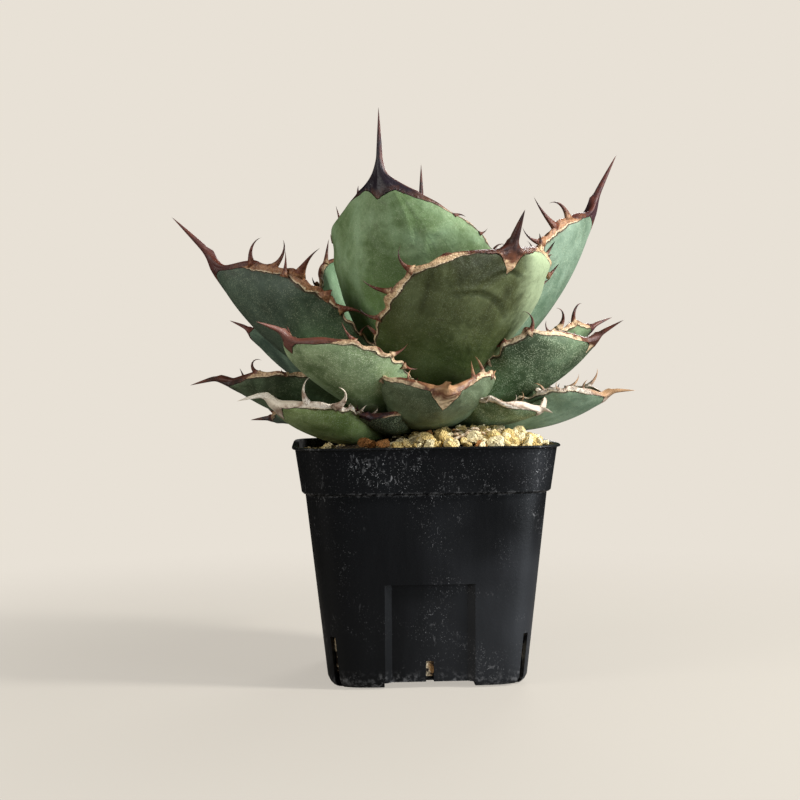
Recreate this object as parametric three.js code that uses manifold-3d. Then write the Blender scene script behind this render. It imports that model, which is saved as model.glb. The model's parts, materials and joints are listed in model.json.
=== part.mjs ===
// A potted agave: a rosette of thick, cupped, spine-tipped leaves in a square nursery pot.
// Millimetres, +Z up. The viewer's side is -Y. Azimuths are counter-clockwise seen from above, 0 = +X.

import * as THREE from 'three';
import { mergeVertices } from 'three/addons/utils/BufferGeometryUtils.js';
import Module from 'manifold-3d';

const wasm = await Module();
wasm.setup();

// ---------------------------------------------------------------- driving dimensions

const GAP = 0.35; // clearance between any two pieces that touch on the real plant
const FINEST = 0.1; // details smaller than this are left out

const POT = {
  height: 92.6,
  rimHalfWidth: 52, // outside of the lip: the pot is 104 mm wide
  bandHalfWidth: 50.8, // top of the plain band under the lip
  bandFootHalfWidth: 48.4, // bottom of that band
  bodyHalfWidth: 47, // body just under the band
  footHalfWidth: 38.8, // body at the ground
  lipHeight: 1.6,
  bandHeight: 17.9,
  wall: 1.2,
  footRounding: { height: 3.2, inset: 2.2 },
  footRing: 5.2, // width of the ring under the wall that the floor is raised inside
  floorRaise: 2.2, // underside of the floor above the ground
  floorThickness: 1.4,
  squareness: 7, // exponent of the rounded square; higher is squarer
  sidesPerRing: 40,
};

const PANEL = { halfWidth: 17.3, draft: 3, depth: 1.8, top: 40.4, topDraft: 2 };
const ARCH = { halfWidth: 17.3, height: 2 }; // the wall is raised under each panel, which leaves four feet

const CORNER_SLIT = { width: 2.6, top: 20, innerRadius: 30 };
const SIDE_SLIT = { width: 3, top: 10, innerRadius: 32 };
const FLOOR_SLOT = { width: 3, length: 15, radius: 15 };

const SUBSTRATE_TOP = POT.height - 9;
const GRAVEL_TOP = POT.height - 0.4;
const GRAVEL_CROWN = 7; // rise of the gravel towards the stem
const BED_GRAINS = 40; // grains half sunk in the bed
const LOOSE_GRAINS = 14;
const GRAIN_RADIUS = { least: 2.6, most: 4.4 };

const STEM = [
  // height and radius, from the root crown up to the growing point
  [70, 9],
  [86, 12],
  [97, 11],
  [104, 7],
  [107, 4],
];
const ROOTS = { count: 7, radius: 1.8, endRadius: 0.5, spread: 27, lowest: 22, start: 80 };

// The rosette leans in its pot: everything above ground is turned towards an azimuth, about a point on the
// pot's axis. The heights of the stem and the leaves are given upright, before it leans.
const LEAN = { towards: -93, angle: 6.5, pivotHeight: 108.2, rise: 1.3 };

const SPEAR = { base: 107.6, height: 62, radius: 6.4, spine: 14, leanX: 4 };

const LEAF_ROWS = 6; // facets along a leaf
const LEAF_COLUMNS = { wide: 6, narrow: 4 }; // facets across a leaf
const NARROW_LEAF = 29; // half-width under which a leaf has the fewer facets
const LEAF_TIP_HALF_WIDTH = 2.6; // where the spine takes over
const MARGIN_THICKNESS = 1.5;
const UPPER_LEAVES = 6; // the youngest ones, which are paler

// What a leaf has unless its own line says otherwise. Angles are in degrees. The arc is half the opening
// angle of the cupped cross-section, at the base, at the widest place and at the tip.
const LEAF_HABIT = {
  bow: 18, // how much the midrib curls up between base and tip, each way from its mean slope
  baseWidth: 0.45, // half-width at the base, as a part of halfWidth
  widest: 0.6, // where along the midrib the leaf is widest
  bluntness: 0.5, // 0.5 rounds the leaf's end off as an ellipse; more makes it pointed
  arc: [80, 62, 45],
  roll: 0, // turn about the midrib, positive lifts the edge that is counter-clockwise from above
  spineRise: -20, // how far the end spine turns up from the leaf's own line
  teeth: 4, // marginal teeth on each edge
};

// The leaves in the order they grew, youngest first. Each stands about 137.5 degrees round from the last.
// base and tip are [distance from the axis, height].
const LEAVES = [
  { name: 'leaf_02_inner_back', azimuth: 80, base: [2, 108], tip: [12, 186], halfWidth: 30, bow: 8,
    baseWidth: 0.6, bluntness: 0.6, arc: [110, 80, 60], spine: 17, spineRise: 0 },
  { name: 'leaf_03_tall_front', azimuth: -125, base: [5, 105], tip: [30, 195], halfWidth: 47, bow: 17,
    baseWidth: 0.62, bluntness: 0.68, arc: [90, 62, 50], spine: 29, spineRise: 2, teeth: 5 },
  { name: 'leaf_04_upper_right', azimuth: 22, base: [5, 103], tip: [82, 181], halfWidth: 42, bow: 27,
    baseWidth: 0.55, widest: 0.55, arc: [80, 74, 60], roll: -22, spine: 28, spineRise: -8, teeth: 5 },
  { name: 'leaf_05_upper_left', azimuth: 172, base: [6, 101], tip: [83, 161], halfWidth: 42, bow: 23,
    baseWidth: 0.55, arc: [80, 74, 60], roll: 16, spine: 28, spineRise: -12, teeth: 5 },
  { name: 'leaf_06_front_right', azimuth: -56, base: [7, 100], tip: [58, 169], halfWidth: 44, bow: 16,
    baseWidth: 0.55, bluntness: 0.36, arc: [80, 50, 40], spine: 17, spineRise: 0, teeth: 5 },
  { name: 'leaf_07_upper_back', azimuth: 119, base: [8, 100], tip: [54, 164], halfWidth: 36, bow: 15,
    baseWidth: 0.55, arc: [80, 62, 45], spine: 24, spineRise: 0, teeth: 5 },
  { name: 'leaf_08_front_left', azimuth: -143, base: [9, 99], tip: [66, 136], halfWidth: 34, bow: 22,
    baseWidth: 0.5, arc: [80, 68, 55], roll: -1, spine: 17, spineRise: -30, teeth: 5 },
  { name: 'leaf_09_right', azimuth: -10, base: [10, 98], tip: [70, 131], halfWidth: 35, bow: 22,
    baseWidth: 0.2, widest: 0.7, arc: [80, 68, 55], roll: -14, spine: 15, spineRise: -15, teeth: 5 },
  { name: 'leaf_10_back_left', azimuth: 147, base: [10, 97], tip: [84, 132], halfWidth: 30,
    baseWidth: 0.5, roll: 28, spine: 12 },
  { name: 'leaf_11_front', azimuth: -84, base: [11, 96], tip: [56, 118], halfWidth: 32, bow: 22,
    baseWidth: 0.4, arc: [80, 74, 68], spine: 12, spineRise: -30 },
  { name: 'leaf_12_back_right', azimuth: 33, base: [11, 97], tip: [94, 130], halfWidth: 25, roll: -30,
    spine: 14 },
  { name: 'leaf_13_left', azimuth: -176, base: [12, 97], tip: [78, 116], halfWidth: 30, bow: 20,
    arc: [80, 66, 45], roll: 12, spine: 15, spineRise: -45 },
  { name: 'leaf_14_front_right_low', azimuth: -37, base: [12, 96], tip: [54, 108], halfWidth: 25,
    baseWidth: 0.25, widest: 0.65, arc: [80, 66, 45], spine: 12, spineRise: -15 },
  { name: 'leaf_15_back', azimuth: 98, base: [12, 97], tip: [80, 122], halfWidth: 28, spine: 13 },
  { name: 'leaf_16_small_front_left', azimuth: -122, base: [13, 96], tip: [43, 106], halfWidth: 17,
    arc: [80, 66, 45], spine: 7, teeth: 3 },
  { name: 'leaf_17_right_low', azimuth: 13, base: [13, 97], tip: [62, 107], halfWidth: 22, spine: 10 },
  { name: 'leaf_18_back_left_low', azimuth: 152, base: [13, 97], tip: [68, 96], halfWidth: 20, bow: 4,
    arc: [80, 50, 45], spine: 12, spineRise: -5, teeth: 3 },
  { name: 'leaf_19_back_right_low', azimuth: 66, base: [13, 97], tip: [70, 108], halfWidth: 24, bow: 14,
    spine: 11, teeth: 3 },
  { name: 'leaf_20_front_left_low', azimuth: -155, base: [13, 96], tip: [66, 111], halfWidth: 28, bow: 38,
    arc: [80, 68, 45], spine: 15, spineRise: -58 },
  { name: 'leaf_21_right_lowest', azimuth: -8, base: [13, 97], tip: [75, 109], halfWidth: 26, bow: 26,
    baseWidth: 0.3, widest: 0.7, arc: [80, 66, 45], roll: -8, spine: 12, spineRise: -30 },
];

// Dead roots and leaf scraps on the gravel: azimuth, distance from the axis, direction, length.
const HUSKS = [
  { name: 'dry_root_1', azimuth: -72, distance: 37, heading: 10, length: 17, lift: 1.2 },
  { name: 'dry_root_2', azimuth: -63, distance: 43, heading: 150, length: 13, lift: 0.6 },
];
const HUSK_RADIUS = 0.9;
const HUSK_HEIGHT = 2.6; // above the gravel, so that a root rests on the grains

// ---------------------------------------------------------------- materials

const finish = (color, roughness, metalness = 0) =>
  new THREE.MeshStandardMaterial({ color, roughness, metalness });

const BLACK_PLASTIC = finish(0x17181a, 0.42);
const SOIL = finish(0x3a2c20, 0.95);
const PUMICE = finish(0xcdb68a, 0.9);
const UPPER_LEAF = finish(0x8aa58a, 0.55);
const LOWER_LEAF = finish(0x4e6b45, 0.6);
const STEM_SKIN = finish(0x8f8a5a, 0.7);
const DRY_HUSK = finish(0xb59a72, 0.9);

// ---------------------------------------------------------------- small helpers

const radians = THREE.MathUtils.degToRad;
const mix = THREE.MathUtils.lerp;

/** A repeatable stream of numbers from 0 to 1. */
function seededRandom(seed) {
  let state = seed;
  return () => {
    state = (state * 16807) % 2147483647;
    return state / 2147483647;
  };
}

/** The turn and shift that set the upright rosette leaning in the pot. */
function leaningMatrix() {
  const towards = radians(LEAN.towards);
  const hinge = new THREE.Vector3(-Math.sin(towards), Math.cos(towards), 0);
  return new THREE.Matrix4()
    .makeTranslation(0, 0, LEAN.pivotHeight + LEAN.rise)
    .multiply(new THREE.Matrix4().makeRotationAxis(hinge, radians(LEAN.angle)))
    .multiply(new THREE.Matrix4().makeTranslation(0, 0, -LEAN.pivotHeight));
}

const LEANING = leaningMatrix();

/** A closed three.js geometry as a solid that can be joined and cut. */
function toSolid(geometry) {
  const bare = geometry.clone();
  bare.deleteAttribute('normal');
  bare.deleteAttribute('uv');
  const merged = mergeVertices(bare, 1e-4);
  const vertProperties = new Float32Array(merged.attributes.position.array);
  const triVerts = new Uint32Array(merged.index.array);
  return new wasm.Manifold(new wasm.Mesh({ numProp: 3, vertProperties, triVerts }));
}

/** A joined or cut solid back as a three.js geometry, without the slivers that cutting leaves. */
function toGeometry(solid) {
  const mesh = solid.asOriginal().simplify(FINEST).getMesh();
  const geometry = new THREE.BufferGeometry();
  geometry.setAttribute('position', new THREE.BufferAttribute(mesh.vertProperties, 3));
  geometry.setIndex(new THREE.BufferAttribute(mesh.triVerts, 1));
  geometry.computeVertexNormals();
  return geometry;
}

/** The biggest of a solid's separate bodies: cutting can leave crumbs. */
function largestBody(solid) {
  const bodies = solid.decompose();
  return bodies.reduce((best, body) => (body.volume() > best.volume() ? body : best));
}

function geometryFrom(points, triangles) {
  const geometry = new THREE.BufferGeometry();
  const numbers = points.flatMap((point) => point.toArray());
  geometry.setAttribute('position', new THREE.Float32BufferAttribute(numbers, 3));
  geometry.setIndex(triangles.flat());
  return geometry;
}

/** A closed body through rings of equal size, each ring counter-clockwise seen from the last one. */
function loft(rings) {
  const size = rings[0].length;
  const points = rings.flat();
  const triangles = [];
  for (let level = 0; level + 1 < rings.length; level += 1) {
    for (let side = 0; side < size; side += 1) {
      const a = level * size + side;
      const b = level * size + ((side + 1) % size);
      triangles.push([a, b, b + size], [a, b + size, a + size]);
    }
  }
  const middle = (ring) => ring.reduce((sum, p) => sum.add(p), new THREE.Vector3()).divideScalar(size);
  const bottom = points.push(middle(rings[0])) - 1;
  const top = points.push(middle(rings[rings.length - 1])) - 1;
  const last = (rings.length - 1) * size;
  for (let side = 0; side < size; side += 1) {
    const next = (side + 1) % size;
    triangles.push([bottom, next, side], [top, last + side, last + next]);
  }
  return toSolid(geometryFrom(points, triangles));
}

/** A round body of changing radius along a smooth line through the given points. */
function taperedRod(route, radii, sides) {
  const rings = route.map((point, index) => {
    const before = route[Math.max(index - 1, 0)];
    const after = route[Math.min(index + 1, route.length - 1)];
    const along = new THREE.Vector3().subVectors(after, before).normalize();
    const turn = new THREE.Quaternion().setFromUnitVectors(new THREE.Vector3(0, 0, 1), along);
    return Array.from({ length: sides }, (_, side) => {
      const angle = (2 * Math.PI * side) / sides;
      const arm = new THREE.Vector3(Math.cos(angle), Math.sin(angle), 0).multiplyScalar(radii[index]);
      return arm.applyQuaternion(turn).add(point);
    });
  });
  return loft(rings);
}

/** The body between two sheets of points with the same rows and columns. */
function slab(under, over) {
  const rows = under.length;
  const columns = under[0].length;
  const points = [...under.flat(), ...over.flat()];
  const at = (row, column, sheet) => sheet * rows * columns + row * columns + column;
  const triangles = [];
  const quad = (a, b, c, d) => triangles.push([a, c, b], [a, d, c]);
  for (let row = 0; row + 1 < rows; row += 1) {
    for (let column = 0; column + 1 < columns; column += 1) {
      const next = column + 1;
      quad(at(row, column, 0), at(row + 1, column, 0), at(row + 1, next, 0), at(row, next, 0));
      quad(at(row, column, 1), at(row, next, 1), at(row + 1, next, 1), at(row + 1, column, 1));
    }
    const end = columns - 1;
    quad(at(row, 0, 0), at(row, 0, 1), at(row + 1, 0, 1), at(row + 1, 0, 0));
    quad(at(row, end, 0), at(row + 1, end, 0), at(row + 1, end, 1), at(row, end, 1));
  }
  for (let column = 0; column + 1 < columns; column += 1) {
    const end = rows - 1;
    quad(at(0, column, 0), at(0, column + 1, 0), at(0, column + 1, 1), at(0, column, 1));
    quad(at(end, column, 0), at(end, column, 1), at(end, column + 1, 1), at(end, column + 1, 0));
  }
  return toSolid(geometryFrom(points, triangles));
}

// ---------------------------------------------------------------- pot

/** One level of the rounded square: a superellipse whose points lie closest together at the corners. */
function potRing(halfWidth, height) {
  const pull = (share) => Math.sign(share) * Math.abs(share) ** (2 / POT.squareness);
  return Array.from({ length: POT.sidesPerRing }, (_, side) => {
    const angle = (2 * Math.PI * (side + 0.5)) / POT.sidesPerRing;
    return new THREE.Vector3(halfWidth * pull(Math.cos(angle)), halfWidth * pull(Math.sin(angle)), height);
  });
}

const bodyTop = POT.height - POT.bandHeight;

/** Outside half-width of the tapering body at a height. */
const bodyHalfWidthAt = (height) => mix(POT.footHalfWidth, POT.bodyHalfWidth, height / bodyTop);

/** The low panel's space on one side: a box with drafted sides, set in by depth and grown by margin. */
function panelBlock(depth, margin, bottom) {
  const top = PANEL.top + margin;
  const outside = 3;
  const level = (height, narrower) => {
    const wall = bodyHalfWidthAt(height);
    const outer = PANEL.halfWidth + margin - narrower;
    const inner = outer - PANEL.draft;
    return [
      new THREE.Vector3(-outer, -wall - outside, height),
      new THREE.Vector3(outer, -wall - outside, height),
      new THREE.Vector3(outer, -wall + depth - PANEL.depth, height),
      new THREE.Vector3(inner, -wall + depth, height),
      new THREE.Vector3(-inner, -wall + depth, height),
      new THREE.Vector3(-outer, -wall + depth - PANEL.depth, height),
    ];
  };
  return loft([level(bottom, 0), level(top - PANEL.topDraft, 0), level(top, 1)]);
}

const onFourSides = (solid) =>
  [90, 180, 270].reduce((sum, turn) => sum.add(solid.rotate([0, 0, turn])), solid);

/** Inside half-width at a height: the wall's thickness in from the body, and wider inside the band. */
function insideHalfWidthAt(height) {
  const narrow = bodyHalfWidthAt(Math.min(height, bodyTop)) - POT.wall;
  const wide = POT.bandHalfWidth - POT.wall;
  return height > bodyTop ? mix(narrow, wide, (height - bodyTop) / POT.bandHeight) : narrow;
}

/** What fills the inside of the pot, with an extra clearance to the wall, up to a height. */
function potInside(clearance, top) {
  const inset = POT.wall + clearance;
  const floor = POT.floorRaise + POT.floorThickness + clearance;
  const rounding = 2;
  const rings = [
    potRing(insideHalfWidthAt(floor) - clearance - rounding, floor),
    potRing(insideHalfWidthAt(floor + rounding) - clearance, floor + rounding),
    potRing(insideHalfWidthAt(bodyTop) - clearance, bodyTop),
    potRing(insideHalfWidthAt(top) - clearance, top),
  ];
  const panelWall = panelBlock(PANEL.depth + inset, inset, POT.floorRaise);
  return loft(rings).subtract(onFourSides(panelWall));
}

/** A cutter for a slit that runs out from innerRadius through the wall at an azimuth. */
function slitCutter({ width, top, innerRadius }, azimuth) {
  const reach = 40;
  const below = 5;
  const box = new THREE.BoxGeometry(reach, width, top + below);
  box.translate(innerRadius + reach / 2, 0, (top - below) / 2);
  box.rotateZ(radians(azimuth));
  return toSolid(box);
}

function floorSlotCutter(azimuth) {
  const box = new THREE.BoxGeometry(FLOOR_SLOT.length, FLOOR_SLOT.width, 4 * POT.floorRaise);
  box.translate(FLOOR_SLOT.radius, 0, 0);
  box.rotateZ(radians(azimuth));
  return toSolid(box);
}

function makePot() {
  const outside = loft([
    potRing(POT.footHalfWidth - POT.footRounding.inset, 0),
    potRing(bodyHalfWidthAt(POT.footRounding.height), POT.footRounding.height),
    potRing(POT.bodyHalfWidth, bodyTop - 0.6),
    potRing(POT.bandFootHalfWidth, bodyTop),
    potRing(POT.bandHalfWidth - 0.6, POT.height - POT.lipHeight),
    potRing(POT.rimHalfWidth, POT.height - POT.lipHeight + 0.3),
    potRing(POT.rimHalfWidth, POT.height),
  ]);
  const underFloor = loft([
    potRing(POT.footHalfWidth - POT.footRing, -1),
    potRing(POT.footHalfWidth - POT.footRing, POT.floorRaise),
  ]);
  const archBox = new THREE.BoxGeometry(2 * ARCH.halfWidth, POT.footHalfWidth, 2 * ARCH.height);
  archBox.translate(0, -POT.footHalfWidth, 0);
  const panels = onFourSides(panelBlock(PANEL.depth, 0, -1));
  const arches = onFourSides(toSolid(archBox));
  let pot = outside.subtract(potInside(0, POT.height + 1));
  pot = pot.subtract(underFloor).subtract(panels).subtract(arches);
  for (const corner of [45, 135, 225, 315]) {
    pot = pot.subtract(slitCutter(CORNER_SLIT, corner));
    pot = pot.subtract(slitCutter(SIDE_SLIT, corner - 45));
    pot = pot.subtract(floorSlotCutter(corner));
  }
  return largestBody(pot);
}

// ---------------------------------------------------------------- stem and roots

function makeStem(clearance) {
  const trunk = STEM.map(([height]) => new THREE.Vector3(0, 0, height));
  trunk[0].z -= clearance;
  trunk[trunk.length - 1].z += clearance;
  for (const point of trunk) {
    point.applyMatrix4(LEANING);
  }
  const girth = STEM.map(([, radius]) => radius + clearance);
  let stem = taperedRod(trunk, girth, 12);
  for (let root = 0; root < ROOTS.count; root += 1) {
    const angle = (2 * Math.PI * root) / ROOTS.count + 0.3 * Math.sin(root * 2.3);
    const spread = ROOTS.spread * (0.75 + 0.25 * Math.cos(root * 1.7));
    const lowest = ROOTS.lowest + 6 * Math.sin(root * 2.9) - clearance;
    const out = new THREE.Vector3(Math.cos(angle), Math.sin(angle), 0);
    const place = (distance, height) => out.clone().multiplyScalar(distance).setZ(height);
    const route = [
      place(2, ROOTS.start),
      place(spread * 0.6, ROOTS.start - 14),
      place(spread, ROOTS.start - 36),
      place(spread * 0.9, lowest),
    ];
    const radii = [ROOTS.radius, ROOTS.radius, ROOTS.radius * 0.7, ROOTS.endRadius];
    const grown = radii.map((radius) => radius + clearance);
    stem = stem.add(taperedRod(route, grown, 5));
  }
  return stem;
}

/** The rolled young leaves round the growing point, seen as one pointed spear. */
function makeSpear(clearance) {
  const profile = [
    [0, 0.75],
    [0.3, 1],
    [0.65, 0.85],
    [0.9, 0.4],
    [1, 0.22],
  ];
  const top = SPEAR.base + SPEAR.height;
  const up = (along) => new THREE.Vector3(SPEAR.leanX * along, 0, SPEAR.base + SPEAR.height * along);
  const route = profile.map(([along]) => up(along));
  route[0].z -= clearance;
  const radii = profile.map(([, share]) => SPEAR.radius * share + clearance);
  route.push(new THREE.Vector3(SPEAR.leanX * 1.3, 0, top + SPEAR.spine + clearance));
  radii.push(0.2 + clearance);
  for (const point of route) {
    point.applyMatrix4(LEANING);
  }
  return taperedRod(route, radii, 8);
}

// ---------------------------------------------------------------- leaves

/** A leaf's place at a share s of its midrib, and its axes there: along, level, edgeways and inward. */
function midribFrame(leaf, s) {
  const run = leaf.tip[0] - leaf.base[0];
  const rise = leaf.tip[1] - leaf.base[1];
  const slope = Math.atan2(rise, run);
  const bow = radians(leaf.bow);
  const radius = Math.hypot(run, rise) / 2 / Math.sin(bow);
  const startSlope = slope - bow;
  const angle = startSlope + 2 * bow * s;
  const distance = leaf.base[0] + radius * (Math.sin(angle) - Math.sin(startSlope));
  const height = leaf.base[1] - radius * (Math.cos(angle) - Math.cos(startSlope));
  const azimuth = radians(leaf.azimuth);
  const out = new THREE.Vector3(Math.cos(azimuth), Math.sin(azimuth), 0);
  const up = new THREE.Vector3(0, 0, 1);
  const along = out.clone().multiplyScalar(Math.cos(angle)).addScaledVector(up, Math.sin(angle));
  const level = new THREE.Vector3(-Math.sin(azimuth), Math.cos(azimuth), 0);
  const inward = out.clone().multiplyScalar(-Math.sin(angle)).addScaledVector(up, Math.cos(angle));
  const roll = new THREE.Quaternion().setFromAxisAngle(along, radians(leaf.roll));
  return {
    place: out.multiplyScalar(distance).setZ(height).applyMatrix4(LEANING),
    edgeways: level.clone().applyQuaternion(roll).transformDirection(LEANING),
    inward: inward.applyQuaternion(roll).transformDirection(LEANING),
    along: along.transformDirection(LEANING),
    level: level.transformDirection(LEANING),
  };
}

/** Half the width of a leaf at a share s of its midrib. */
function halfWidthAt(leaf, s) {
  if (s < leaf.widest) {
    const swell = Math.sin((Math.PI / 2) * (s / leaf.widest));
    return leaf.halfWidth * mix(leaf.baseWidth, 1, swell);
  }
  const past = (s - leaf.widest) / (1 - leaf.widest);
  return Math.max(leaf.halfWidth * (1 - past * past) ** leaf.bluntness, LEAF_TIP_HALF_WIDTH);
}

/** Half the opening angle of the cupped section at s. */
function arcAt(leaf, s) {
  const [base, middle, tip] = leaf.arc.map(radians);
  if (s < leaf.widest) {
    return mix(base, middle, s / leaf.widest);
  }
  return mix(middle, tip, (s - leaf.widest) / (1 - leaf.widest));
}

/** A point of the leaf: s along the midrib, u from edge (-1) to edge (1), depth in from the outer face. */
function leafPoint(leaf, s, u, depth, clearance) {
  const frame = midribFrame(leaf, s);
  const halfWidth = halfWidthAt(leaf, s) + clearance;
  const arc = arcAt(leaf, s);
  const bend = halfWidth / arc;
  const across = bend * Math.sin(arc * u) - depth * Math.sin(arc * u);
  const inward = bend * (1 - Math.cos(arc * u)) + depth * Math.cos(arc * u);
  return frame.place.addScaledVector(frame.edgeways, across).addScaledVector(frame.inward, inward);
}

function thicknessAt(leaf, s, u) {
  const core = (2.4 + 0.08 * leaf.halfWidth) * (1.2 - 0.55 * s);
  return MARGIN_THICKNESS + (core - MARGIN_THICKNESS) * Math.sqrt(1 - u * u);
}

function leafSpine(leaf, clearance) {
  const end = midribFrame(leaf, 1);
  const start = leafPoint(leaf, 0.955, 0, 1.6, 0);
  const tip = leafPoint(leaf, 1, 0, 1.2, 0);
  const turned = new THREE.Quaternion().setFromAxisAngle(end.level, -radians(leaf.spineRise));
  const direction = end.along.clone().applyQuaternion(turned);
  const bend = end.along.clone().add(direction);
  const middle = tip.clone().addScaledVector(bend, leaf.spine * 0.2);
  const point = middle.clone().addScaledVector(direction, leaf.spine * 0.6 + clearance);
  const thick = LEAF_TIP_HALF_WIDTH;
  const radii = [thick * 0.9, thick, thick * 0.55, 0.2].map((radius) => radius + clearance);
  return taperedRod([start, tip, middle, point], radii, 5);
}

function leafTooth(leaf, s, edge, length, clearance) {
  const root = leafPoint(leaf, s, edge * 0.97, MARGIN_THICKNESS / 2, 0);
  const inner = leafPoint(leaf, s, edge * 0.9, MARGIN_THICKNESS / 2, 0);
  const outward = root.clone().sub(inner).normalize();
  const { along } = midribFrame(leaf, s);
  const lean = along.multiplyScalar(edge > 0 ? 0.35 : 0.2);
  const heading = outward.clone().add(lean).normalize();
  const base = root.clone().addScaledVector(outward, -1.6);
  const tip = root.clone().addScaledVector(heading, length + clearance);
  return taperedRod([base, tip], [2, 0.25].map((radius) => radius + clearance), 3);
}

/** One leaf with its end spine and its marginal teeth, grown by clearance all over. */
function makeLeaf(leaf, clearance) {
  const columns = leaf.halfWidth < NARROW_LEAF ? LEAF_COLUMNS.narrow : LEAF_COLUMNS.wide;
  const sheet = (face) =>
    Array.from({ length: LEAF_ROWS + 1 }, (_, row) =>
      Array.from({ length: columns + 1 }, (_, column) => {
        const s = row / LEAF_ROWS;
        const u = (2 * column) / columns - 1;
        const depth = face === 'outer' ? -clearance : thicknessAt(leaf, s, u) + clearance;
        return leafPoint(leaf, s, u, depth, clearance);
      }),
    );
  let solid = slab(sheet('outer'), sheet('inner')).add(leafSpine(leaf, clearance));
  const toothLength = 2.5 + 0.13 * leaf.halfWidth;
  for (let tooth = 0; tooth < leaf.teeth; tooth += 1) {
    for (const edge of [-1, 1]) {
      const s = mix(0.42, 0.93, (tooth + (edge > 0 ? 0.25 : 0.6)) / leaf.teeth);
      solid = solid.add(leafTooth(leaf, s, edge, toothLength, clearance));
    }
  }
  return solid;
}

// ---------------------------------------------------------------- gravel

/** A rough stone: an icosahedron pulled out of shape and set down at a place. */
function makeGrain(place, radius, random, clearance) {
  const stretch = [0.8 + 0.45 * random(), 0.8 + 0.4 * random(), 0.65 + 0.25 * random()];
  const turns = [random() * 6, random() * 6, random() * 6];
  const stone = new THREE.IcosahedronGeometry(radius + clearance, 0);
  stone.scale(...stretch);
  stone.rotateX(turns[0]).rotateY(turns[1]).rotateZ(turns[2]);
  stone.translate(place.x, place.y, place.z);
  return toSolid(stone);
}

/** Height of the gravel at a distance from the pot's axis. */
function gravelHeight(distance) {
  return GRAVEL_TOP + GRAVEL_CROWN * Math.max(0, 1 - distance / POT.bodyHalfWidth);
}

/** A spot on the gravel on a sunflower spiral, which the pot's corners pull out towards a square. */
function gravelSpot(index, count, innermost, outermost) {
  const distance = mix(innermost, outermost, Math.sqrt((index + 0.5) / count));
  const angle = index * radians(137.508);
  const cornerPull = 1 + 0.2 * Math.sin(2 * angle) ** 4;
  const reach = distance * cornerPull;
  return new THREE.Vector3(reach * Math.cos(angle), reach * Math.sin(angle), gravelHeight(distance));
}

function makeGravelBed() {
  const bottom = SUBSTRATE_TOP + GAP;
  const edge = GRAVEL_TOP - 2.2;
  const level = (halfWidth) => potRing(halfWidth, gravelHeight(halfWidth) - 1.5);
  let bed = loft([
    potRing(insideHalfWidthAt(bottom) - GAP, bottom),
    potRing(insideHalfWidthAt(edge) - GAP, edge),
    level(36),
    level(14),
  ]);
  const random = seededRandom(11);
  for (let index = 0; index < BED_GRAINS; index += 1) {
    const spot = gravelSpot(index, BED_GRAINS, 16, 45.5);
    const radius = mix(GRAIN_RADIUS.least, GRAIN_RADIUS.most, random());
    spot.z -= radius * 0.75;
    bed = bed.add(makeGrain(spot, radius, random, 0));
  }
  return bed;
}

// ---------------------------------------------------------------- assembly

const plant = new THREE.Group();
plant.name = 'potted_agave';

function addPiece(name, solid, material) {
  const mesh = new THREE.Mesh(toGeometry(solid), material);
  mesh.name = name;
  plant.add(mesh);
}

addPiece('pot', makePot(), BLACK_PLASTIC);

const substrate = potInside(GAP, SUBSTRATE_TOP).subtract(makeStem(GAP));
addPiece('substrate', largestBody(substrate), SOIL);
addPiece('stem_with_roots', makeStem(0), STEM_SKIN);

// From the growing point outwards, each piece is cut clear of all that stands inside it.
let taken = makeStem(GAP);
addPiece('leaf_01_centre_spear', makeSpear(0), UPPER_LEAF);
taken = taken.add(makeSpear(GAP));

for (const [index, own] of LEAVES.entries()) {
  const leaf = { ...LEAF_HABIT, ...own };
  const skin = index < UPPER_LEAVES ? UPPER_LEAF : LOWER_LEAF;
  addPiece(leaf.name, largestBody(makeLeaf(leaf, 0).subtract(taken)), skin);
  taken = taken.add(makeLeaf(leaf, GAP));
}

// Dry roots lie on the gravel; loose grains lie where nothing else does.
let bed = makeGravelBed().subtract(taken);
for (const husk of HUSKS) {
  const at = radians(husk.azimuth);
  const heading = radians(husk.heading);
  const height = gravelHeight(husk.distance) + HUSK_HEIGHT;
  const start = new THREE.Vector3(husk.distance * Math.cos(at), husk.distance * Math.sin(at), height);
  const step = new THREE.Vector3(Math.cos(heading), Math.sin(heading), 0).multiplyScalar(husk.length / 2);
  const middle = start.clone().add(step).setZ(height + husk.lift);
  const route = [start, middle, start.clone().addScaledVector(step, 2)];
  const radii = [HUSK_RADIUS, HUSK_RADIUS, HUSK_RADIUS / 2];
  const rod = (clearance) => taperedRod(route, radii.map((radius) => radius + clearance), 5);
  addPiece(husk.name, largestBody(rod(0).subtract(taken)), DRY_HUSK);
  taken = taken.add(rod(GAP));
  bed = bed.subtract(rod(GAP));
}

const random = seededRandom(5);
const spots = 90;
let placed = 0;
for (let index = 0; index < spots && placed < LOOSE_GRAINS; index += 1) {
  const spot = gravelSpot(index, spots, 22, 42);
  const radius = mix(GRAIN_RADIUS.least, GRAIN_RADIUS.most, random());
  spot.z += radius * 0.6;
  const shape = Math.ceil(1000 * random());
  const grown = makeGrain(spot, radius, seededRandom(shape), GAP * 1.6);
  const facesViewer = spot.y < 12;
  if (facesViewer && grown.intersect(taken).isEmpty()) {
    placed += 1;
    const grain = makeGrain(spot, radius, seededRandom(shape), 0);
    addPiece(`pumice_${String(placed).padStart(2, '0')}`, grain, PUMICE);
    taken = taken.add(grown);
    bed = bed.subtract(grown);
  }
}
addPiece('gravel_bed', largestBody(bed), PUMICE);

// The origin is the bottom centre of the whole object's box.
const box = new THREE.Box3().setFromObject(plant);
const centre = box.getCenter(new THREE.Vector3());
plant.position.set(-centre.x, -centre.y, -box.min.z);

export default plant;
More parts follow.
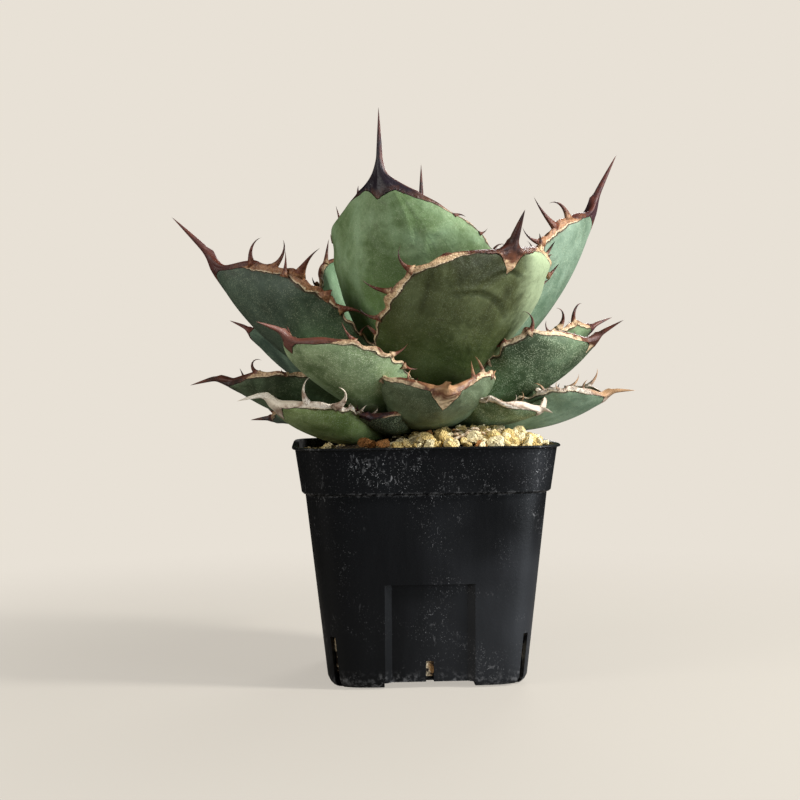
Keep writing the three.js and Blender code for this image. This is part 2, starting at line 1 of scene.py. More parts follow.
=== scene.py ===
# %% [markdown]
# # A potted agave
#
# The object is a young agave in a square black nursery pot. The plant is a rosette of about twenty thick,
# cupped leaves. Each leaf has a corky margin with curved teeth and ends in a stiff dark spine. Pumice gravel
# covers the soil. The construction model gives every piece its real place and size, so this lesson only has
# to give each piece its living surface. We load that model first and keep its box, because nothing that we
# make may grow out of it.

import json
import math

import bpy
import numpy as np
from mathutils import Matrix, Vector

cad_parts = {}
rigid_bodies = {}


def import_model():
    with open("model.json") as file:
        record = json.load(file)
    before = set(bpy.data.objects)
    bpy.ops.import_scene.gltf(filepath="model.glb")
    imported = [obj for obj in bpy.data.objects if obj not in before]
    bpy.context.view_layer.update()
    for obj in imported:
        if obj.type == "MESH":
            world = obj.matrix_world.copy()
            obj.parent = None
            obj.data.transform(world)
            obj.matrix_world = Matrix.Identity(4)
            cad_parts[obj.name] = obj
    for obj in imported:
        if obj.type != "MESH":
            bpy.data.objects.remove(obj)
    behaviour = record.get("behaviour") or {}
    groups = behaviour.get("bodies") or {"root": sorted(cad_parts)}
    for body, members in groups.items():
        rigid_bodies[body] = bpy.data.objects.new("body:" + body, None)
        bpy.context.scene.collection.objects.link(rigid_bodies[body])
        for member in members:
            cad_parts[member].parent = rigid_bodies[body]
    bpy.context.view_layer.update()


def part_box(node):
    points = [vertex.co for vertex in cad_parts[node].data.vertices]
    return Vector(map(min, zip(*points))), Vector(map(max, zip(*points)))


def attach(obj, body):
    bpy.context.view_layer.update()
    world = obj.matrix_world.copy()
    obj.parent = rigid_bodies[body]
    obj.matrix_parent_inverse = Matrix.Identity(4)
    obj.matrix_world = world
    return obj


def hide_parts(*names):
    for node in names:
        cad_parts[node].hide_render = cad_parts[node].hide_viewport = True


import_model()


# %% [markdown]
# Sizes below are in millimetres, measured from the pot's axis at ground level, because that is how a grower
# would measure the plant. `MM` turns them into Blender's metres, and `AXIS` is where the frame has the pot.

# %% Units and the pot's axis
MM = 0.001
pot_low, pot_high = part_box("pot")
AXIS = Vector(((pot_low.x + pot_high.x) / 2, (pot_low.y + pot_high.y) / 2, 0))
POT_HEIGHT = pot_high.z / MM
RIM_HALF_WIDTH = (pot_high.x - pot_low.x) / 2 / MM
print(f"pot {2 * RIM_HALF_WIDTH:.1f} mm wide, {POT_HEIGHT:.1f} mm high, axis at {tuple(AXIS)}")


def place(x, y, z):
    """A point in millimetres from the pot's axis, in metres in the frame."""
    return Vector((x, y, z)) * MM + AXIS


# %% [markdown]
# Operators act on whatever is selected, and loading leaves things selected. These helpers clear the
# selection, pick one piece, and do the small jobs that every piece needs: naming, copying, joining, turning
# the faces outwards and applying what was changed. Where a shape has to follow a formula, its vertices are
# read as rows of numbers, moved together and written back.

# %% Selecting and shaping helpers
def deselect():
    bpy.ops.object.select_all(action="DESELECT")


def only(piece):
    """Makes one piece the selected and active one."""
    deselect()
    piece.select_set(True)
    bpy.context.view_layer.objects.active = piece


def named(name):
    """Gives the newly added primitive its name."""
    piece = bpy.context.active_object
    piece.name = piece.data.name = name
    return piece


def copied(piece):
    """A second object with a mesh of its own."""
    copy = piece.copy()
    copy.data = piece.data.copy()
    bpy.context.scene.collection.objects.link(copy)
    return copy


def join_to(piece, others):
    """Joins other pieces into one, which keeps its name and first material."""
    only(piece)
    for other in others:
        other.select_set(True)
    bpy.ops.object.join()


def point_outwards(piece):
    """Turns all the faces of a closed piece to its outside."""
    only(piece)
    bpy.ops.object.mode_set(mode="EDIT")
    bpy.ops.mesh.select_all(action="SELECT")
    bpy.ops.mesh.normals_make_consistent(inside=False)
    bpy.ops.object.mode_set(mode="OBJECT")


def apply_modifier(piece, kind, **settings):
    """Adds one modifier, sets it up and applies it."""
    only(piece)
    modifier = piece.modifiers.new(kind.lower(), kind)
    for key, value in settings.items():
        setattr(modifier, key, value)
    bpy.ops.object.modifier_apply(modifier=modifier.name)


def settle(piece):
    """Writes a piece's place, turn and size into its mesh, so that its object sits at the origin."""
    only(piece)
    bpy.ops.object.transform_apply(location=True, rotation=True, scale=True)


def coordinates(mesh):
    """A mesh's vertices as rows of x, y, z."""
    flat = np.empty(len(mesh.vertices) * 3, np.float32)
    mesh.vertices.foreach_get("co", flat)
    return flat.reshape(-1, 3).astype(float)


def set_coordinates(mesh, points):
    mesh.vertices.foreach_set("co", np.asarray(points, np.float32).ravel())
    mesh.update()


def mark(mesh, name, values):
    """Stores one number per vertex, which a material can read by name."""
    layer = mesh.attributes.get(name) or mesh.attributes.new(name, "FLOAT", "POINT")
    layer.data.foreach_set("value", np.asarray(values, np.float32))


def finish_piece(piece, material, slot, *nodes):
    """Gives a piece its material and its body, and hides the CAD nodes that it stands for."""
    piece.data.materials.clear()
    piece.data.materials.append(material)
    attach(piece, "root")
    if nodes:
        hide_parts(*nodes)


# %% [markdown]
# A material is a small graph of nodes. `Graph` keeps the code for one as short as the idea behind it: each
# method adds a node or two, joins their inputs and returns their output. Patterns are read from object
# coordinates in metres, so a pattern scale of 1000 gives features about a millimetre wide.

# %% Material helper
def srgb(red, green, blue):
    """A colour given on a 0-255 scale, as the linear colour that shaders use."""
    steps = [value / 255 for value in (red, green, blue)]
    linear = [step / 12.92 if step <= 0.04045 else ((step + 0.055) / 1.055) ** 2.4 for step in steps]
    return (*linear, 1.0)


class Graph:
    def __init__(self, name):
        self.material = bpy.data.materials.new(name)
        self.material.use_nodes = True
        self.tree = self.material.node_tree
        self.shader = self.tree.nodes["Principled BSDF"]
        self.where = self.node("ShaderNodeTexCoord").outputs["Object"]

    def node(self, kind, **settings):
        made = self.tree.nodes.new(kind)
        for key, value in settings.items():
            setattr(made, key, value)
        return made

    def feed(self, socket, value):
        """Joins an output to a socket, or sets the socket to a plain value."""
        if isinstance(value, bpy.types.NodeSocket):
            self.tree.links.new(value, socket)
        else:
            socket.default_value = value

    def surface(self, name, value):
        self.feed(self.shader.inputs[name], value)

    def math(self, operation, first, second=0.0):
        made = self.node("ShaderNodeMath", operation=operation)
        self.feed(made.inputs[0], first)
        self.feed(made.inputs[1], second)
        return made.outputs[0]

    def add(self, first, second):
        return self.math("ADD", first, second)

    def times(self, first, second):
        return self.math("MULTIPLY", first, second)

    def either(self, first, second):
        """The stronger of two masks."""
        return self.math("MAXIMUM", first, second)

    def centred(self, value):
        """A pattern between 0 and 1, moved to lie round 0."""
        return self.math("SUBTRACT", value, 0.5)

    def step(self, value, low, high):
        """0 below low, 1 above high, and a smooth rise between them."""
        made = self.node("ShaderNodeMapRange", interpolation_type="SMOOTHSTEP")
        self.feed(made.inputs["Value"], value)
        self.feed(made.inputs["From Min"], low)
        self.feed(made.inputs["From Max"], high)
        return made.outputs["Result"]

    def fade(self, value, low, high):
        """1 below low, 0 above high, and a smooth fall between them."""
        return self.math("SUBTRACT", 1.0, self.step(value, low, high))

    def line(self, value, low, high):
        """A line where the value passes 0: full within low of it and gone beyond high."""
        return self.fade(self.math("ABSOLUTE", value), low, high)

    def blend(self, share, first, second, way="MIX"):
        made = self.node("ShaderNodeMix", data_type="RGBA", blend_type=way)
        self.feed(made.inputs["Factor"], share)
        self.feed(made.inputs["A"], first)
        self.feed(made.inputs["B"], second)
        return made.outputs["Result"]

    def blend_value(self, share, first, second):
        made = self.node("ShaderNodeMix", data_type="FLOAT")
        self.feed(made.inputs["Factor"], share)
        self.feed(made.inputs["A"], first)
        self.feed(made.inputs["B"], second)
        return made.outputs["Result"]

    def noise(self, scale, detail=3.0, where=None, distortion=0.0):
        made = self.node("ShaderNodeTexNoise")
        self.feed(made.inputs["Vector"], where or self.where)
        self.feed(made.inputs["Scale"], scale)
        self.feed(made.inputs["Detail"], detail)
        self.feed(made.inputs["Roughness"], 0.55)
        self.feed(made.inputs["Distortion"], distortion)
        return made.outputs[0]

    def cells(self, scale, where=None):
        """The distance to the nearest of many scattered points."""
        made = self.node("ShaderNodeTexVoronoi")
        self.feed(made.inputs["Vector"], where or self.where)
        self.feed(made.inputs["Scale"], scale)
        return made.outputs["Distance"]

    def stretched(self, x, y, z, where=None):
        """The coordinates pulled to another size along each axis, which stretches a pattern."""
        made = self.node("ShaderNodeMapping")
        self.feed(made.inputs["Vector"], where or self.where)
        made.inputs["Scale"].default_value = (x, y, z)
        return made.outputs[0]

    def warped(self, scale, amount):
        """The coordinates pushed about by a noise, which makes round patterns ragged. amount is in metres."""
        push = self.node("ShaderNodeTexNoise")
        self.feed(push.inputs["Vector"], self.where)
        self.feed(push.inputs["Scale"], scale)
        made = self.node("ShaderNodeVectorMath", operation="MULTIPLY_ADD")
        self.feed(made.inputs[0], push.outputs["Color"])
        made.inputs[1].default_value = (2 * amount,) * 3
        self.feed(made.inputs[2], self.where)
        return made.outputs[0]

    def marked(self, name):
        """A number that was stored at each vertex."""
        return self.node("ShaderNodeAttribute", attribute_name=name).outputs["Fac"]

    def split(self, vector):
        made = self.node("ShaderNodeSeparateXYZ")
        self.feed(made.inputs[0], vector)
        return made.outputs

    def relief(self, height, depth, under=None):
        """A bump of a real depth in metres, on top of another one where given."""
        made = self.node("ShaderNodeBump")
        self.feed(made.inputs["Height"], height)
        made.inputs["Distance"].default_value = depth
        if under is not None:
            self.feed(made.inputs["Normal"], under)
        return made.outputs[0]


# %% [markdown]
# The camera stands where the photographer stood: a little left of the pot's centre line, about 60 cm away and
# almost level with the rim, so the pot shows no opening. A 70 mm lens on a 36 mm sensor fits the perspective.

# %% Camera
CAMERA_AZIMUTH = math.radians(-3.0)
CAMERA_PITCH = math.radians(1.0)
CAMERA_ROLL = math.radians(0.7)
CAMERA_DISTANCE = 631
AIM = place(-8.3, 0, 109.5)

away = Vector((math.sin(CAMERA_AZIMUTH) * math.cos(CAMERA_PITCH),
               -math.cos(CAMERA_AZIMUTH) * math.cos(CAMERA_PITCH),
               math.sin(CAMERA_PITCH)))
camera_data = bpy.data.cameras.new("camera")
camera_data.lens = 70
camera_data.sensor_width = 36
camera_data.clip_start = 0.01
camera = bpy.data.objects.new("camera", camera_data)
bpy.context.scene.collection.objects.link(camera)
turn = away.to_track_quat("Z", "Y").to_matrix().to_4x4() @ Matrix.Rotation(-CAMERA_ROLL, 4, "Z")
camera.matrix_world = Matrix.Translation(AIM + away * CAMERA_DISTANCE * MM) @ turn
bpy.context.scene.camera = camera
print("camera at", tuple(round(value, 3) for value in camera.location))

# %% [markdown]
# The light in the photo comes from the right and a little from the front, high enough to leave the pot's
# left side and the leaves' undersides dark. One soft key does that. A wide, weak light in front on the right
# gives the black plastic its sheen, a fill on the left reaches the lower leaves, and one behind draws the
# edges. The camera sees the surroundings at full strength, the leaves gather a fifth of it as soft light
# (`AMBIENT`), and gloss mirrors next to nothing of it (`MIRRORED`), or the black plastic would look grey. The
# floor fades out into the pale surroundings.

# %% Floor and lights
SURROUNDINGS = srgb(232, 225, 214)


def soft_light(name, at, aim, width, power, colour):
    data = bpy.data.lights.new(name, "AREA")
    data.shape = "DISK"
    data.size = width * MM
    data.energy = power
    data.color = colour
    light = bpy.data.objects.new(name, data)
    bpy.context.scene.collection.objects.link(light)
    light.location = place(*at)
    light.rotation_euler = (light.location - place(*aim)).to_track_quat("Z", "Y").to_euler()


soft_light("key", (640, -280, 570), (0, 0, 110), 150, 10.5, (1.0, 0.98, 0.94))
soft_light("window", (560, -450, 110), (20, 0, 70), 360, 3.8, (0.86, 0.93, 1.0))
soft_light("fill", (-640, -330, 330), (0, 0, 120), 420, 2.6, (1.0, 0.98, 0.94))
soft_light("edge", (200, 640, 420), (0, 0, 120), 300, 2.5, (1.0, 0.98, 0.95))

AMBIENT = 0.2
MIRRORED = 0.02

world = bpy.data.worlds.new("surroundings")
bpy.context.scene.world = world
world.use_nodes = True
tree = world.node_tree
sky = tree.nodes["Background"]
sky.inputs["Color"].default_value = SURROUNDINGS
ray = tree.nodes.new("ShaderNodeLightPath")
strength = tree.nodes.new("ShaderNodeMapRange")
strength.inputs["To Min"].default_value = AMBIENT
strength.inputs["To Max"].default_value = 1.0
mirrored = tree.nodes.new("ShaderNodeMath")
mirrored.operation = "MULTIPLY_ADD"
mirrored.inputs[1].default_value = MIRRORED - AMBIENT
tree.links.new(ray.outputs["Is Camera Ray"], strength.inputs["Value"])
tree.links.new(ray.outputs["Is Glossy Ray"], mirrored.inputs[0])
tree.links.new(strength.outputs["Result"], mirrored.inputs[2])
tree.links.new(mirrored.outputs["Value"], sky.inputs["Strength"])


def floor_material():
    """A pale matt board, half see-through so that shadows stay soft, that fades out further away."""
    g = Graph("pale_board")
    g.surface("Roughness", 0.85)
    g.surface("Specular IOR Level", 0.2)
    tone = g.noise(9, 2)
    g.surface("Base Color", g.blend(g.times(tone, 0.1), srgb(180, 175, 166), srgb(170, 164, 155)))
    distance = g.node("ShaderNodeVectorMath", operation="LENGTH")
    g.feed(distance.inputs[0], g.where)
    g.surface("Alpha", g.times(g.fade(distance.outputs["Value"], 0.1, 0.45), 0.42))
    return g.material


deselect()
bpy.ops.mesh.primitive_circle_add(vertices=96, radius=0.6, fill_type="NGON", location=(0, 0, -0.0004))
floor = named("floor")
floor.data.materials.append(floor_material())
bpy.context.scene.view_settings.view_transform = "Standard"

# %% [markdown]
# ## The pot
#
# The real pot is a thin polypropylene moulding: a rounded square that tapers to the ground, with a plain
# band and a thin lip at the top, a shallow recessed panel on each side, and drainage slits at the corners
# and under the panels. It could start as a tapered cube, but the corners would lose their even curve. So
# one outline of a rounded square is pulled up from ring to ring, out over the lip, and a second body, smaller
# by the wall, is cut out of it. The panels, the arches between the feet and the slits are cut after that.

# %% The pot's sizes
POT = dict(rim=RIM_HALF_WIDTH, band_top=50.7, band_foot=48.4, body=47.0, foot=38.8, wall=1.2, squareness=7)
BAND_HEIGHT = 17.9
BODY_TOP = POT_HEIGHT - BAND_HEIGHT
FLOOR_HEIGHT = 3.6
OUTLINE_POINTS = 192
BAND_RISE = 15.9
PANEL = dict(half_width=17.3, top=40.4, depth=2.3, draft=2.8, top_draft=0.5)
CUTTER_REACH = 4
BEVEL_WIDTH = 0.28
LEDGE_HEIGHT = 74.7

# what is cut out of each quarter, as size, place and first turn in mm and degrees
OPENINGS = dict(
    arch=((35, 30, 4), (0, -POT["foot"], 0), 0),
    side_slit=((3, 24, 20), (0, -40, 0), 0),
    corner_slit=((40, 2.6, 40), (50, 0, 0), 45),
    floor_slot=((15, 3, 12), (15, 0, 0), 45),
)


def rounded_square(half_width, angles):
    """The outline at one height: a superellipse, with its points closest together at the corners."""
    pull = 2 / POT["squareness"]
    directions = np.stack([np.cos(angles), np.sin(angles)], 1)
    return half_width * np.sign(directions) * np.abs(directions) ** pull


def body_half_width(height):
    return POT["foot"] + (POT["body"] - POT["foot"]) * height / BODY_TOP


def pull_up(name, levels):
    """Pulls a rounded square through (half-width, height) levels in mm and closes both ends."""
    deselect()
    bpy.ops.mesh.primitive_circle_add(vertices=OUTLINE_POINTS, radius=1, fill_type="NGON")
    shell = named(name)
    points = coordinates(shell.data)
    angles = np.arctan2(points[:, 1], points[:, 0])
    points[:, :2] = rounded_square(levels[0][0] * MM, angles)
    points[:, 2] = levels[0][1] * MM
    set_coordinates(shell.data, points)
    only(shell)
    bpy.ops.object.mode_set(mode="EDIT")
    bpy.ops.mesh.select_all(action="SELECT")
    for (before, low), (after, high) in zip(levels, levels[1:]):
        bpy.ops.mesh.extrude_region_move(TRANSFORM_OT_translate={"value": (0, 0, (high - low) * MM)})
        ratio = after / before
        bpy.ops.transform.resize(value=(ratio, ratio, 1), center_override=(0, 0, 0))
    bpy.ops.object.mode_set(mode="OBJECT")
    point_outwards(shell)
    return shell


def cutter_box(name, size, at, degrees):
    """A box of a size in mm, turned round the pot's axis."""
    deselect()
    bpy.ops.mesh.primitive_cube_add(size=1, location=Vector(at) * MM)
    block = named(name)
    block.scale = Vector(size) * MM
    settle(block)
    block.matrix_world = Matrix.Rotation(math.radians(degrees), 4, "Z")
    settle(block)
    return block


def carve(piece, cutter):
    """Cuts another body out of a piece. The cutter is used up."""
    apply_modifier(piece, "BOOLEAN", object=cutter, operation="DIFFERENCE", solver="EXACT")
    bpy.data.objects.remove(cutter)


# %% The pot's walls
outer_levels = [(POT["foot"] - 2.6, 0.0), (POT["foot"] - 1.3, 0.35), (POT["foot"] - 0.45, 1.3),
                (body_half_width(3.0), 3.0)]
outer_levels += [(body_half_width(h), h) for h in np.linspace(8, BODY_TOP - 1.1, 12)]
outer_levels += [(POT["body"] - 0.1, BODY_TOP - 0.5), (POT["body"] + 0.25, BODY_TOP - 0.12),
                 (POT["band_foot"] - 0.5, BODY_TOP), (POT["band_foot"], BODY_TOP + 0.5)]
outer_levels += [(POT["band_foot"] + (POT["band_top"] - POT["band_foot"]) * k, BODY_TOP + 0.5 + BAND_RISE * k)
                 for k in (0.33, 0.66, 1.0)]
outer_levels += [(POT["band_top"] + 0.1, POT_HEIGHT - 1.1), (POT["rim"] - 0.2, POT_HEIGHT - 0.85),
                 (POT["rim"], POT_HEIGHT - 0.6), (POT["rim"] - 0.05, POT_HEIGHT - 0.25),
                 (POT["rim"] - 0.3, POT_HEIGHT)]
pot = pull_up("pot_moulding", outer_levels)

wall = POT["wall"]
hollow = pull_up("hollow", [
    (body_half_width(FLOOR_HEIGHT) - wall - 2, FLOOR_HEIGHT),
    (body_half_width(FLOOR_HEIGHT + 2) - wall, FLOOR_HEIGHT + 2),
    (body_half_width(BODY_TOP * 0.5) - wall, BODY_TOP * 0.5),
    (POT["body"] - wall, BODY_TOP),
    (POT["band_top"] - wall, POT_HEIGHT - 1.5),
    (POT["band_top"] - wall + 0.5, POT_HEIGHT + 2),
])


def panel_block(name, depth, grow, bottom, degrees):
    """The space of one panel: a slab with drafted sides that leans in with the pot's wall."""
    top = PANEL["top"] + grow
    size = (2 * (PANEL["half_width"] + grow), 1, top - bottom)
    block = cutter_box(name, size, (0, 0, (top + bottom) / 2), 0)
    points = coordinates(block.data)
    inner = points[:, 1] > 0
    wall_at = np.array([body_half_width(z / MM) for z in points[:, 2]]) * MM
    points[:, 1] = np.where(inner, -wall_at + depth * MM, -wall_at - CUTTER_REACH * MM)
    slope = (CUTTER_REACH + depth) / PANEL["depth"] * PANEL["draft"]
    points[:, 0] -= np.sign(points[:, 0]) * np.where(inner, PANEL["draft"], PANEL["draft"] - slope) * MM
    points[:, 2] -= np.where(inner & (points[:, 2] > (bottom + 1) * MM), PANEL["top_draft"] * MM, 0)
    set_coordinates(block.data, points)
    block.matrix_world = Matrix.Rotation(math.radians(degrees), 4, "Z")
    settle(block)
    return block


for quarter in range(4):
    carve(hollow, panel_block("panel_back", PANEL["depth"] + wall, wall, 0, 90 * quarter))
carve(pot, hollow)
for quarter in range(4):
    carve(pot, panel_block("panel", PANEL["depth"], 0, -CUTTER_REACH, 90 * quarter))
    for name, (size, at, first_turn) in OPENINGS.items():
        carve(pot, cutter_box(name, size, at, first_turn + 90 * quarter))
print("pot:", len(pot.data.polygons), "faces")

# %% [markdown]
# A moulded edge is never knife sharp. A narrow bevel on the sharp edges catches the light the way the real
# one does, and weighted normals keep the flat faces beside it flat.
#
# The black plastic is scuffed and splashed. Specks of lime come in two sizes and in patches, scratches run
# upright, and dust lies along the foot and on the ledge under the band. All of it is procedural.

# %% The pot's edges
apply_modifier(pot, "BEVEL", width=BEVEL_WIDTH * MM, segments=2, limit_method="ANGLE",
               angle_limit=math.radians(38), use_clamp_overlap=True, miter_outer="MITER_ARC")
only(pot)
bpy.ops.object.shade_smooth_by_angle(angle=math.radians(35))
apply_modifier(pot, "WEIGHTED_NORMAL", keep_sharp=True, weight=100)
pot.data.transform(Matrix.Translation(AXIS))


def pot_material():
    """Black polypropylene: satin, scuffed upright, with specks of lime and dust along the edges, and a painted
    sheen on its right half.
    """
    g = Graph("black_polypropylene")
    x, _, z = g.split(g.where)
    cloud = g.noise(26, 3)
    upright = g.noise(70, 4, g.stretched(1, 1, 0.1))
    base = g.blend(cloud, srgb(3, 4, 6), srgb(7, 9, 13))
    base = g.blend(g.times(g.step(upright, 0.52, 0.78), 0.3), base, srgb(26, 28, 32))
    # Painted sheen: a patchy lighter film on the right half stands in for the light from the right glancing
    # off the plastic.
    painted_right_sheen = g.times(g.step(g.noise(13, 3), 0.42, 0.7), g.step(x, -0.02, 0.045))
    base = g.blend(g.times(painted_right_sheen, 0.6), base, srgb(52, 54, 58))
    near_rim = g.step(z, 0.07, 0.076)
    patch = g.step(g.noise(48, 4, distortion=0.5), 0.46, 0.66)
    big = g.fade(g.cells(420, g.warped(1500, 0.0011)), 0.05, 0.17)
    small = g.fade(g.cells(1100, g.warped(2600, 0.0006)), 0.06, 0.24)
    share = g.add(g.times(patch, 0.75), g.times(near_rim, 0.25))
    speck = g.either(g.times(big, g.step(share, 0.55, 0.9)), g.times(small, g.times(share, 0.8)))
    scratch = g.step(g.noise(620, 3, g.stretched(1, 1, 0.3, g.warped(90, 0.004)), 0.8), 0.66, 0.74)
    smear = g.times(g.step(g.noise(520, 5, g.stretched(1, 1, 0.6), 1.0), 0.56, 0.74), g.step(share, 0.4, 0.9))
    speck = g.either(g.times(speck, 0.9), g.times(g.times(scratch, share), 0.5))
    speck = g.either(speck, g.times(smear, 0.3))
    low = g.fade(g.add(z, g.times(g.noise(160), 0.01)), 0.005, 0.0125)
    ledge = g.line(g.math("SUBTRACT", z, LEDGE_HEIGHT * MM), 0.0003, 0.0011)
    dust = g.either(g.times(low, 0.7), g.times(ledge, 0.5))
    dust = g.times(dust, g.step(g.noise(620, 5), 0.46, 0.7))
    white = g.either(speck, g.times(dust, 0.5))
    g.surface("Base Color", g.blend(white, base, srgb(150, 150, 152)))
    g.surface("Roughness", g.add(g.add(0.38, g.times(cloud, 0.14)), g.times(white, 0.3)))
    g.surface("Specular IOR Level", 0.24)
    fine = g.relief(g.noise(900, 3), 0.00005)
    g.surface("Normal", g.relief(g.noise(55, 3, g.stretched(1, 1, 0.3)), 0.0006, fine))
    return g.material


finish_piece(pot, pot_material(), "pot_plastic", "pot")

# %% [markdown]
# ## The leaves
#
# A leaf of this plant is a thick cupped blade. It widens from its base, ends in a blunt shoulder, and there
# runs out into a stiff spine as one piece. It could be cut from a flat sheet and bent, but then the rounded
# margin and the spine would be seams. We start from a sphere instead: its rings become the leaf's
# cross-sections and its two poles become the base and the tip of the spine. Each vertex then moves to its
# place by the leaf's own measures.
#
# The midrib is an arc in the upright plane of the leaf's azimuth. `bow` is how much it curls up. `arc` is half
# the opening angle of the cupped section at the base, at the widest place and at the tip, and `roll` turns
# the section about the midrib. These are nearly the measures that the construction model's leaves have. The
# leaves are laid out round an upright stem, and then the whole rosette leans forward a little.

# %% The leaning rosette
LEAN = dict(towards=-93, angle=6.5, pivot_height=108.2, rise=1.3)


def planted(points):
    """Points of the upright rosette in mm, leaned forward as it stands in its pot, in the frame's metres."""
    towards = math.radians(LEAN["towards"])
    hinge = Vector((-math.sin(towards), math.cos(towards), 0))
    turn = np.array(Matrix.Rotation(math.radians(LEAN["angle"]), 3, hinge))
    pivot = np.array([0, 0, LEAN["pivot_height"]])
    return ((points - pivot) @ turn.T + pivot + (0, 0, LEAN["rise"])) * MM + np.array(AXIS)


# %% The line of the midrib
LEAF_HABIT = dict(bow=18, base_width=0.45, widest=0.6, bluntness=0.5, shoulder=0.32, arc=(80, 62, 45), roll=0,
                  spine_rise=-20, stout=1.0, wave=1.0, edge_teeth=4, cap_drop=0.13, cap_flare=0.13,
                  cap_edge=0.16)


def midrib(leaf):
    """The midrib and spine in small steps: run along it, distance from the axis, height and slope."""
    run, rise = np.subtract(leaf["tip"], leaf["base"])
    bow = math.radians(leaf["bow"])
    slope = math.atan2(rise, run)
    radius = math.hypot(run, rise) / 2 / math.sin(bow)
    blade = 2 * bow * radius
    along = np.linspace(0, blade + leaf["spine"], 400)
    angle = slope - bow + 2 * bow * np.minimum(along / blade, 1)
    past = np.clip((along - blade) / (0.5 * leaf["spine"]), 0, 1)
    angle += math.radians(leaf["spine_rise"]) * past * past * (3 - 2 * past)
    step = along[1]
    out = leaf["base"][0] + np.concatenate([[0], np.cumsum(np.cos(angle[:-1]) * step)])
    up = leaf["base"][1] + np.concatenate([[0], np.cumsum(np.sin(angle[:-1]) * step)])
    return dict(blade=blade, along=along, out=out, up=up, angle=angle)


# %% [markdown]
# The half-width swells to its widest place, rounds off like an ellipse, and runs in a hollow curve into the
# slender spine. The wall is thickest at the midrib and thins towards the margin, and the spine is round.

# %% Widths along a leaf
CUSP_START = 0.97


def cusp_length(leaf):
    """Length of the hollow curve from the blade's shoulder into the spine."""
    return min(0.34 * leaf["half_width"], 0.5 * leaf["spine"])


def spine_radius(leaf):
    return leaf["stout"] * (0.62 + 0.026 * leaf["spine"])


def half_width(leaf, along, blade):
    share = np.clip(along / blade, 0, 1)
    widest = leaf["widest"]
    swell = leaf["base_width"] + (1 - leaf["base_width"]) * np.sin(np.pi / 2 * np.minimum(share / widest, 1))
    past = np.clip((share - widest) / (1 - widest), 0, 1)
    body = leaf["half_width"] * np.where(share < widest, swell, (1 - past ** 2) ** leaf["bluntness"])
    cusp = cusp_length(leaf)
    slender = spine_radius(leaf)
    beyond = along - CUSP_START * blade
    shoulder = leaf["shoulder"] * leaf["half_width"]
    hollow = slender + (shoulder - slender) * np.clip(1 - beyond / cusp, 0, 1) ** 2.2
    taper = np.clip((along[-1] - along) / (along[-1] - CUSP_START * blade - cusp), 0, 1) ** 0.85
    hollow = np.where(beyond > cusp, slender * taper, hollow)
    return (body ** 5 + hollow ** 5) ** 0.2


def spine_share(leaf, along, blade):
    """0 on the blade, rising to 1 where the spine has become round."""
    share = np.clip((along - CUSP_START * blade) / cusp_length(leaf), 0, 1)
    return share * share * (3 - 2 * share)


def print_relief(leaf, x, y):
    """Shallow prints that the neighbours' margins left in the bud, as arcs in the unrolled leaf in mm."""
    relief = np.zeros_like(x)
    for across, along, radius, start, stop in leaf.get("prints", []):
        dx, dy = x - across * leaf["half_width"], y - along
        off = np.hypot(dx, dy) - radius
        bearing = np.degrees(np.arctan2(dy, dx)) % 360
        inside = np.clip((bearing - start) / 12, 0, 1) * np.clip((stop - bearing) / 12, 0, 1)
        relief += inside * (0.55 * np.exp(-((off - 1.5) / 1.6) ** 2) - 0.5 * np.exp(-((off + 0.6) / 1.1) ** 2))
    return relief


# %% [markdown]
# The teeth along the margin are horny hooks on small bulges. Each is given by the edge that it stands on, its
# place along the blade, its length, how far it leans towards the leaf's tip, how much it curls on its way out,
# and how far it lifts to the inner side. The teeth that the photo shows clearly are given one by one; the
# rest of each margin is filled in with a seeded scatter.

# %% One leaf's teeth
def all_teeth(leaf, rng):
    """The given teeth, and scattered ones wherever an edge has a long bare stretch."""
    teeth = list(leaf.get("teeth", []))
    usual = 1.6 + 0.105 * leaf["half_width"]
    count = leaf["edge_teeth"] + 1
    for edge in (-1, 1):
        for spot in np.linspace(0.3, 0.93, count) + rng.uniform(-0.03, 0.03, count):
            if not any(tooth[0] == edge and abs(tooth[1] - spot) < 0.085 for tooth in teeth):
                length = usual * rng.uniform(0.55, 1.15) * (0.7 if spot < 0.4 else 1)
                curl = rng.choice((-1, 1)) * rng.uniform(30, 130)
                lean = rng.uniform(-20, 20) - 0.2 * curl
                teeth.append((edge, spot, length, lean, curl, rng.uniform(-15, 35)))
    return teeth


# %% The form of one leaf
def section_frame(leaf, rib, along):
    """Place, along, edgeways and inward at given runs along the midrib, each as rows of x, y, z."""
    azimuth = math.radians(leaf["azimuth"])
    out = np.array([math.cos(azimuth), math.sin(azimuth), 0])
    level = np.array([-math.sin(azimuth), math.cos(azimuth), 0])
    up = np.array([0, 0, 1.0])
    distance, height, angle = (np.interp(along, rib["along"], rib[key])[:, None]
                               for key in ("out", "up", "angle"))
    forward = out * np.cos(angle) + up * np.sin(angle)
    inward = -out * np.sin(angle) + up * np.cos(angle)
    roll = math.radians(leaf["roll"])
    return (out * distance + up * height, forward, level * math.cos(roll) + inward * math.sin(roll),
            inward * math.cos(roll) - level * math.sin(roll))


